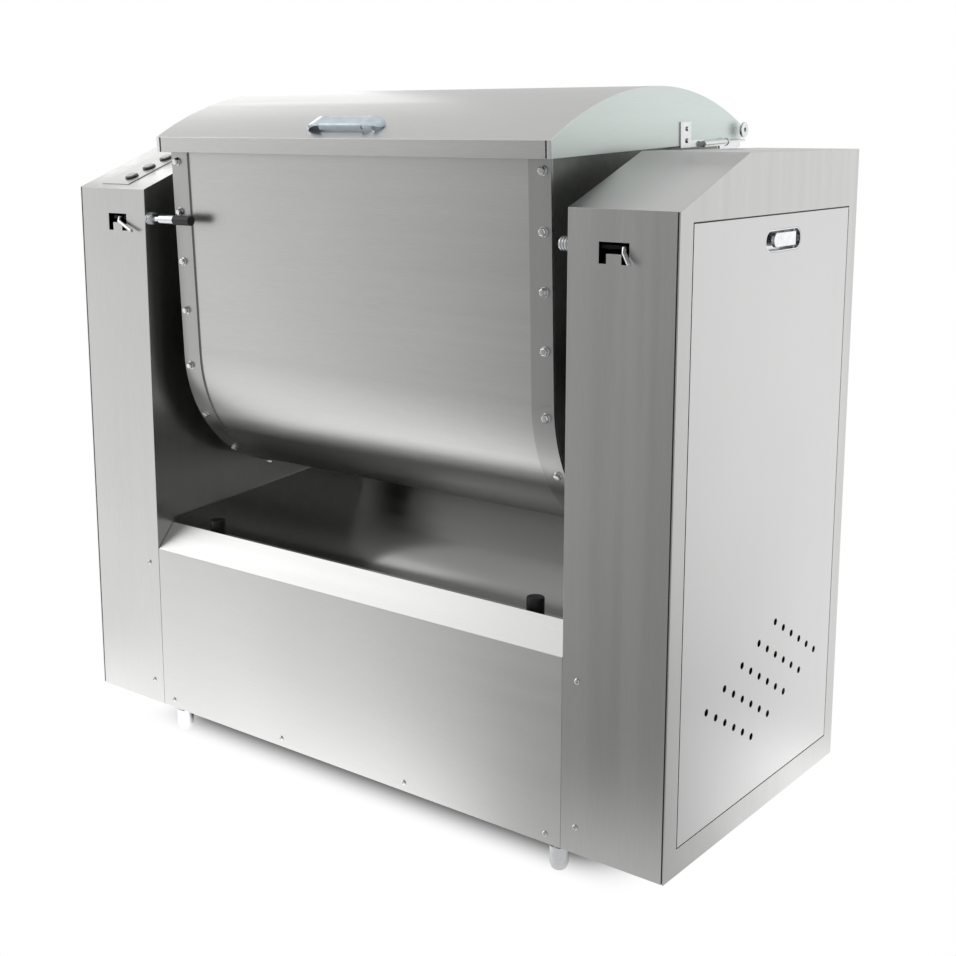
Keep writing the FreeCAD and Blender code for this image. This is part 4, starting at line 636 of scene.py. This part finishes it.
class MIXER_OT_fasteners(Step):
    """Flange bolts, panel screws and levelling feet"""
    bl_idname = "mixer.fasteners"
    bl_label = "Fasteners and feet"

    # Edges of the feet shorter than this stay sharp.
    FOOT_REACH = 0.004

    # Head of a flange bolt with its washer: whole height, rounding of the top, and turn from one to the next.
    BOLT_HEIGHT = 0.0075
    BOLT_ROUND = 0.0026
    BOLT_TURN = 0.7
    # Washer under it: thickness, and outline of (along the bolt, radius) steps.
    WASHER = 0.0019
    WASHER_OUTLINE = ((0, 0), (0, 0.0079), (0.0005, 0.0082), (0.0014, 0.0082), (WASHER, 0.0077), (WASHER, 0))

    # Head of a panel screw: outline of (along the screw, share of the radius) steps.
    PAN_OUTLINE = ((0, 0), (0, 0.94), (0.0003, 1), (0.0009, 0.97), (0.0016, 0.82), (0.0021, 0.6), (0.0024, 0))
    # Its cross: reach and half width of the arms as shares of the radius, and depth.
    CROSS_ARM, CROSS_HALF = 0.55, 0.12
    CROSS_DEPTH = 0.0012
    # Faces of the head beyond this height are its crown.
    CROWN = 0.0018

    def execute(self, context):
        sizes = context.scene.mixer_sizes
        self.flange_bolts(sizes)
        self.panel_screws(sizes)
        eased("levelling_feet", sizes.foot_edge, self.FOOT_REACH)
        return {"FINISHED"}

    def flange_bolts(self, sizes):
        """Hexagon heads with rounded tops on washers, square to the trough's wall."""
        shape = bmesh.new()
        for index, (low, high) in enumerate(solids_of("trough_bolts")):
            centre = (low + high) / 2
            local = TILT.inverted() @ centre
            out = TILT.to_3x3() @ Vector((0, local.y, min(local.z, 0))).normalized()
            foot = centre - out * self.BOLT_HEIGHT / 2
            turned(shape, self.WASHER_OUTLINE, foot, out, steps=24)
            place = facing(foot + out * self.WASHER, out) @ Matrix.Rotation(self.BOLT_TURN * index, 4, "Z")
            base = bmesh.ops.create_circle(shape, cap_ends=True, segments=6, matrix=place,
                                           radius=sizes.bolt_flats / math.sqrt(3))["verts"]
            hexagon = next(face for face in base[0].link_faces if len(face.verts) == 6)
            grown = bmesh.ops.extrude_face_region(shape, geom=[hexagon], use_keep_orig=True)["geom"]
            top = only(bmesh.types.BMVert, grown)
            bmesh.ops.translate(shape, vec=out * (self.BOLT_HEIGHT - self.WASHER), verts=top)
            rim = [edge for edge in only(bmesh.types.BMEdge, grown) if set(edge.verts) <= set(top)]
            rounded(shape, rim, self.BOLT_ROUND, segments=4)
        smooth(shape, angle=20)
        heads = put(shape, "flange_bolts", "trough_bolts", "bright_hardware", "bolt_head")
        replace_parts(heads, "trough_bolts")

    def panel_screws(self, sizes):
        """Pan heads with a cross recess."""
        radius = sizes.screw_head / 2
        outline = [(along, share * radius) for along, share in self.PAN_OUTLINE]
        shape = bmesh.new()
        for low, high in solids_of("panel_screws"):
            head = bmesh.new()
            turned(head, outline, (0, 0, 0), (0, -1, 0), steps=24)
            self.sink_cross(head, self.CROSS_ARM * radius, self.CROSS_HALF * radius)
            middle = (low + high) / 2
            bmesh.ops.translate(head, vec=(middle.x, high.y, middle.z), verts=head.verts)
            mesh = bpy.data.meshes.new("one_screw")
            head.to_mesh(mesh)
            head.free()
            shape.from_mesh(mesh)
            bpy.data.meshes.remove(mesh)
        smooth(shape, angle=30)
        heads = put(shape, "pan_screws", "panel_screws", "bright_hardware")
        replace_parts(heads, "panel_screws")

    def sink_cross(self, head, arm, half):
        """Cut the outline of a cross into the crown of a head that faces forward, and sink it."""
        for axis in ((1, 0, 0), (0, 0, 1)):
            for place in (-arm, -half, half, arm):
                whole = head.verts[:] + head.edges[:] + head.faces[:]
                bmesh.ops.bisect_plane(head, geom=whole, dist=TOUCHING, plane_co=Vector(axis) * place,
                                       plane_no=axis)
        cross = []
        for face in head.faces:
            centre = face.calc_center_median()
            narrow, wide = sorted((abs(centre.x), abs(centre.z)))
            if centre.y < -self.CROWN and narrow < half and wide < arm:
                cross.append(face)
        grown = bmesh.ops.extrude_face_region(head, geom=cross)["geom"]
        bmesh.ops.translate(head, vec=(0, self.CROSS_DEPTH, 0), verts=only(bmesh.types.BMVert, grown))
        bmesh.ops.delete(head, geom=cross, context="FACES")


class MIXER_OT_locks(Step):
    """Lock bolts, bushes and socket"""
    bl_idname = "mixer.locks"
    bl_label = "Locks"

    # X of the pillars' inner walls, where a bolt's bright end meets its blackened inner end.
    WALL = 0.484
    ROD_CHAMFER = 0.0012

    # Levers: their place in X, how far the tip leans to the right, and the radius of the bar.
    LEVER_AT = {"left": -0.550, "right": 0.5805}
    LEVER_LEAN = {"left": 0.042, "right": 0.0135}
    LEVER_RADIUS = 0.0036
    # Bends of a lever from the bolt's axis as (lean, place in Y, drop), and its tip as (place in Y, drop).
    LEVER_BENDS = ((0, -0.306, 0.001), (0.002, -0.3095, 0.007))
    LEVER_TIP = (-0.3125, 0.024)

    # Ribs of a bush, from its inner end.
    RIBS = [ring(start, thickness=0.0026, bore=0.0085, radius=0.0118, chamfer=0.0006)
            for start in (0.0022, 0.0072, 0.0122)]

    def execute(self, context):
        for node in ("lock_bushes", "lock_socket", "lock_socket_cap"):
            eased(node, context.scene.mixer_sizes.small_edge, TINY_EDGE)
        for side, sign in SIDES.items():
            self.lock_bolt(side, sign)
            self.ribs(side, sign)
        return {"FINISHED"}

    def lock_bolt(self, side, sign):
        """Bright rod end, blackened inner rod, and a lever bent down in front of the slot."""
        node = side + "_lock_bolt"
        low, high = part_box(node)
        middle = (low[2] + high[2]) / 2
        radius = (high[2] - low[2]) / 2
        y = high[1] - radius
        tip, end = (low[0], high[0]) if sign > 0 else (high[0], low[0])
        wall = sign * self.WALL
        outer, inner = abs(wall - tip), abs(end - wall)

        shape = bmesh.new()
        turned(shape, ((0, 0), (0, radius - self.ROD_CHAMFER), (self.ROD_CHAMFER, radius), (outer, radius),
                       (outer, 0)), (tip, y, middle), (sign, 0, 0), steps=28)
        smooth(shape)
        bright = put(shape, side + "_lock_rod", node, "bright_hardware")

        shape = bmesh.new()
        turned(shape, ((0, 0), (0, radius), (inner, radius), (inner, 0)), (wall, y, middle), (sign, 0, 0),
               steps=28)
        smooth(shape)
        put(shape, side + "_lock_rod_inner", node, "bright_hardware", "bolt_black")

        path = [(self.LEVER_AT[side], y, middle)]
        for lean, place, drop in (*self.LEVER_BENDS, (self.LEVER_LEAN[side], *self.LEVER_TIP)):
            path.append((self.LEVER_AT[side] + lean, place, middle - drop))
        shape = bmesh.new()
        bent_rod(shape, path, self.LEVER_RADIUS)
        smooth(shape, angle=40)
        put(shape, side + "_lock_lever", node, "bright_hardware")
        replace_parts(bright, node)

    def ribs(self, side, sign):
        """Turned ribs on the bush nearest the trough, in which a lock bolt slides."""
        bushes = [box for box in solids_of("lock_bushes") if box[0].x * sign > 0]
        low, high = min(bushes, key=lambda box: abs(box[0].x + box[1].x))
        middle = (low + high) / 2
        start = (low.x if sign < 0 else high.x, middle.y, middle.z)
        shape = bmesh.new()
        for outline in self.RIBS:
            turned(shape, outline, start, (-sign, 0, 0), steps=28)
        smooth(shape, angle=50)
        put(shape, side + "_bush_ribs", "lock_bushes", "bright_hardware")


class MIXER_OT_latches(Step):
    """Door latches with their paddles"""
    bl_idname = "mixer.latches"
    bl_label = "Latches"

    def execute(self, context):
        sizes = context.scene.mixer_sizes
        for side in SIDES:
            eased(side + "_latch_cup", sizes.small_edge, TINY_EDGE, "latch_plating")
            eased(side + "_latch_paddle", sizes.sheet_edge, TINY_EDGE, "latch_plating")
        return {"FINISHED"}


class MIXER_OT_controls(Step):
    """Control plate and push buttons"""
    bl_idname = "mixer.controls"
    bl_label = "Controls"

    # Share of its height that a ring keeps, and that a button keeps above a level over the rings' foot.
    RING_SHARE = 0.8
    BUTTON_SHARE = 0.5
    BUTTON_LEVEL = 0.0026

    def execute(self, context):
        sizes = context.scene.mixer_sizes
        eased("control_plate", sizes.small_edge, TINY_EDGE)
        rings = solids_of("button_rings")
        along = ((rings[-1][0] + rings[-1][1]) - (rings[0][0] + rings[0][1])) / 2
        normal = Vector((0, -along.z, along.y)).normalized()
        eased("button_rings", sizes.small_edge, TINY_EDGE, "ring_black",
              press=flattening("button_rings", normal, self.RING_SHARE))
        for node in ("start_button", "stop_button", "jog_button"):
            eased(node, sizes.small_edge, TINY_EDGE,
                  press=flattening("button_rings", normal, self.BUTTON_SHARE, self.BUTTON_LEVEL))
        return {"FINISHED"}


class MIXER_OT_drive(Step):
    """Motor, belts, pulleys, gears and bearings inside the pillar"""
    bl_idname = "mixer.drive"
    bl_label = "Drive"

    def execute(self, context):
        for node in ("main_gear", "drive_pinion", "countershaft", "large_pulley", "motor_shaft",
                     "motor_pulley", "countershaft_bearing", "drive_belts", "motor", "motor_bracket",
                     "trunnion_bearings"):
            eased(node)
        return {"FINISHED"}


class MIXER_OT_agitator(Step):
    """Agitator shaft, arms and blades"""
    bl_idname = "mixer.agitator"
    bl_label = "Agitator"

    def execute(self, context):
        for node in ("agitator_shaft", "agitator_arms", "agitator_blades"):
            eased(node)
        return {"FINISHED"}


# The room's soft light along a line from behind the photographer, where it is dim, to the left rear.
ROOM_AXIS = (-0.7, 0.714, 0)
ROOM_LIGHT = {-1.0: 0.5, -0.3: 0.27, -0.18: 0.4, -0.03: 0.72, 0.12: 1.02, 0.35: 1.2, 0.7: 1.05, 1.0: 0.85}
# Level of the brightest place on that line, and share of the light that is left straight overhead.
ROOM_PEAK = max(ROOM_LIGHT.values())
ROOM_OVERHEAD = 0.65


def room_light(wiring, direction):
    """The room's light in a direction, the same for the floor and the air around it."""
    along = wiring.node("VectorMath", {0: direction, 1: ROOM_AXIS}, operation="DOT_PRODUCT")["Value"]
    ramp = wiring.nodes.new("ShaderNodeValToRGB")
    ramp.color_ramp.interpolation = "EASE"
    stops = ramp.color_ramp.elements
    for place in list(ROOM_LIGHT)[1:-1]:
        stops.new((place + 1) / 2)
    for stop, level in zip(stops, ROOM_LIGHT.values()):
        tone = level / ROOM_PEAK
        stop.color = (tone, tone, tone, 1)
    wiring.feed(ramp.inputs["Fac"], wiring.remap(along, -1, 1, 0, 1))
    height = wiring.node("SeparateXYZ", {0: direction})["Z"]
    fade = wiring.remap(height, 0, 1, ROOM_PEAK, ROOM_PEAK * ROOM_OVERHEAD)
    return wiring.maths("MULTIPLY", ramp.outputs["Color"], fade)


class MIXER_OT_stage(Step):
    """Camera, floor and lamps"""
    bl_idname = "mixer.stage"
    bl_label = "Stage"

    # Width of the camera's sensor in millimetres, the furthest that it sees, and half the floor's width.
    SENSOR = 36
    FAR_END = 100
    FLOOR_REACH = 40

    # The floor's shadow fades between these distances from the middle to each side.
    SHADOW_SIDE = (0.44, 0.6)
    # It starts to fade at this distance to the front and to the rear.
    SHADOW_FRONT = 0.19
    # How much darker the floor's colour is painted there: a painted shadow under the mixer, besides its cast
    # shadow.
    PAINTED_SHADOW_DEPTH = 0.85

    # Painted pool of light on the floor round the casing, seen in the steel's reflections: half the casing's
    # depth, and the glow's reach and level.
    CASING_HALF = 0.305
    GLOW_REACH = 0.45
    GLOW_LEVEL = 0.42
    # It fades out to the rear between these places in Y.
    GLOW_REAR = (0.3, 0.6)

    # Place in front of the casing from which the direction of a floor point is reckoned.
    ROOM_VIEW = (0.3, -0.3, 0)
    # At this distance from it the direction counts half.
    ROOM_SOFT = 0.3

    # Lamps: size and place, and the place at which both are aimed.
    LAMPS = {"key": (3.4, (-4.0, -2.1, 3.3)), "rear": (2.2, (-4.6, 3.3, 2.7))}
    LAMP_AIM = Vector((0, 0, 0.6))

    def execute(self, context):
        stage = context.scene.mixer_stage
        self.camera(context.scene, stage)
        self.floor(stage)
        self.lamps(stage)
        self.world(context.scene)
        context.scene.view_settings.view_transform = "Standard"
        return {"FINISHED"}

    def camera(self, scene, stage):
        camera = bpy.data.objects.new("camera", bpy.data.cameras.new("camera"))
        bpy.context.collection.objects.link(camera)
        azimuth, pitch = stage.azimuth, stage.elevation
        ahead = Vector((-math.sin(azimuth), math.cos(azimuth), -math.tan(pitch)))
        camera.location = stage.place
        camera.rotation_mode = "QUATERNION"
        camera.rotation_quaternion = ahead.to_track_quat("-Z", "Y")
        camera.data.lens = stage.lens
        camera.data.sensor_width = self.SENSOR
        camera.data.shift_x, camera.data.shift_y = stage.shift
        camera.data.clip_end = self.FAR_END
        scene.camera = camera

    def floor(self, stage):
        shape = bmesh.new()
        bmesh.ops.create_grid(shape, x_segments=1, y_segments=1, size=self.FLOOR_REACH)
        mesh = bpy.data.meshes.new("floor")
        shape.to_mesh(mesh)
        shape.free()
        floor = bpy.data.objects.new("floor", mesh)
        bpy.context.collection.objects.link(floor)
        floor.data.materials.append(self.floor_paper(stage))

    def floor_paper(self, stage):
        """Pale paper with a painted shadow under the mixer: white to the camera, as light as the room in
        reflections.
        """
        item = Finish("floor_paper")
        maths = item.maths

        def fade(value, start, end, first, last):
            return item.remap(value, start, end, first, last, "SMOOTHSTEP")

        # The floor shows its cast shadow, and a painted shadow in its colour, only under the middle of the
        # mixer, and a little in front of and behind it.
        place = item.node("SeparateXYZ", {0: item.place})
        across, along = (maths("ABSOLUTE", place[axis]) for axis in ("X", "Y"))
        shadow_shown_and_painted = maths("MULTIPLY", fade(across, *self.SHADOW_SIDE, 1, 0),
                        fade(along, self.SHADOW_FRONT, self.SHADOW_FRONT + stage.contact, 1, 0))
        item.set(Base_Color=maths("SUBTRACT", stage.floor, maths("MULTIPLY", shadow_shown_and_painted, self.PAINTED_SHADOW_DEPTH)),
                 Roughness=0.9)

        # Painted glow, brighter nearer the casing's outline.
        beside = maths("MAXIMUM", maths("SUBTRACT", across, CAD_BOX[1][0]),
                       maths("SUBTRACT", along, self.CASING_HALF))
        near = maths("MULTIPLY", fade(beside, 0, self.GLOW_REACH, self.GLOW_LEVEL, 0),
                     fade(place["Y"], *self.GLOW_REAR, 1, 0))

        # Room light by the direction of a floor point from the front of the casing, shortened near it.
        offset = item.node("VectorMath", {0: item.place, 1: self.ROOM_VIEW}, operation="SUBTRACT")["Vector"]
        reach = item.node("VectorMath", {0: offset}, operation="LENGTH")["Value"]
        towards = item.scale_colour(offset, maths("DIVIDE", 1, maths("ADD", reach, self.ROOM_SOFT)))
        room = maths("ADD", room_light(item, towards), near)

        path = item.node("LightPath", {})
        mirrored = maths("MAXIMUM", path["Is Glossy Ray"], path["Is Transmission Ray"])
        seen = maths("MAXIMUM", path["Is Camera Ray"], mirrored)
        glow = item.node("Emission", {"Strength": item.white_to_camera(room, path)})[0]
        share = maths("MULTIPLY", seen, maths("SUBTRACT", 1, shadow_shown_and_painted))
        both = item.node("MixShader", {0: share, 1: item.shader.outputs[0], 2: glow})[0]
        item.feed(item.nodes["Material Output"].inputs["Surface"], both)
        return item.material

    def lamps(self, stage):
        powers = {"key": stage.key, "rear": stage.rear}
        for name, (size, place) in self.LAMPS.items():
            data = bpy.data.lights.new(name + "_lamp", "AREA")
            data.energy, data.size = powers[name], size
            lamp = bpy.data.objects.new(name + "_lamp", data)
            lamp.visible_camera = False
            lamp.location = place
            lamp.rotation_mode = "QUATERNION"
            lamp.rotation_quaternion = (self.LAMP_AIM - Vector(place)).to_track_quat("-Z", "Y")
            bpy.context.collection.objects.link(lamp)

    def world(self, scene):
        scene.world = bpy.data.worlds.new("studio")
        scene.world.use_nodes = True
        air = Wiring(scene.world.node_tree)
        room = room_light(air, air.node("TexCoord", {})["Generated"])
        back = air.nodes["Background"]
        air.feed(back.inputs["Strength"], air.white_to_camera(room, air.node("LightPath", {})))
        air.feed(back.inputs["Color"], (1, 1, 1, 1))


STEPS = (MIXER_OT_casing, MIXER_OT_trough, MIXER_OT_lid, MIXER_OT_basin, MIXER_OT_fasteners, MIXER_OT_locks,
         MIXER_OT_latches, MIXER_OT_controls, MIXER_OT_drive, MIXER_OT_agitator, MIXER_OT_stage)


class MIXER_PT_panel(Panel):
    """Lists the steps and the values that they use"""
    bl_idname = "MIXER_PT_panel"
    bl_label = "Dough mixer"
    bl_space_type = "VIEW_3D"
    bl_region_type = "UI"
    bl_category = "Mixer"

    def draw(self, context):
        for step in STEPS:
            self.layout.operator(step.bl_idname)
        for group in (context.scene.mixer_finishes, context.scene.mixer_sizes, context.scene.mixer_stage):
            for name in group.__annotations__:
                self.layout.prop(group, name)


GROUPS = {"mixer_finishes": MixerFinishes, "mixer_sizes": MixerSizes, "mixer_stage": MixerStage}


def register():
    for name, group in GROUPS.items():
        bpy.utils.register_class(group)
        setattr(bpy.types.Scene, name, PointerProperty(type=group))
    for item in STEPS + (MIXER_PT_panel,):
        bpy.utils.register_class(item)


def unregister():
    for item in (MIXER_PT_panel,) + STEPS[::-1]:
        bpy.utils.unregister_class(item)
    for name, group in reversed(GROUPS.items()):
        delattr(bpy.types.Scene, name)
        bpy.utils.unregister_class(group)


def main():
    register()
    for step in STEPS:
        area, name = step.bl_idname.split(".")
        getattr(getattr(bpy.ops, area), name)()


if __name__ == "__main__":
    main()
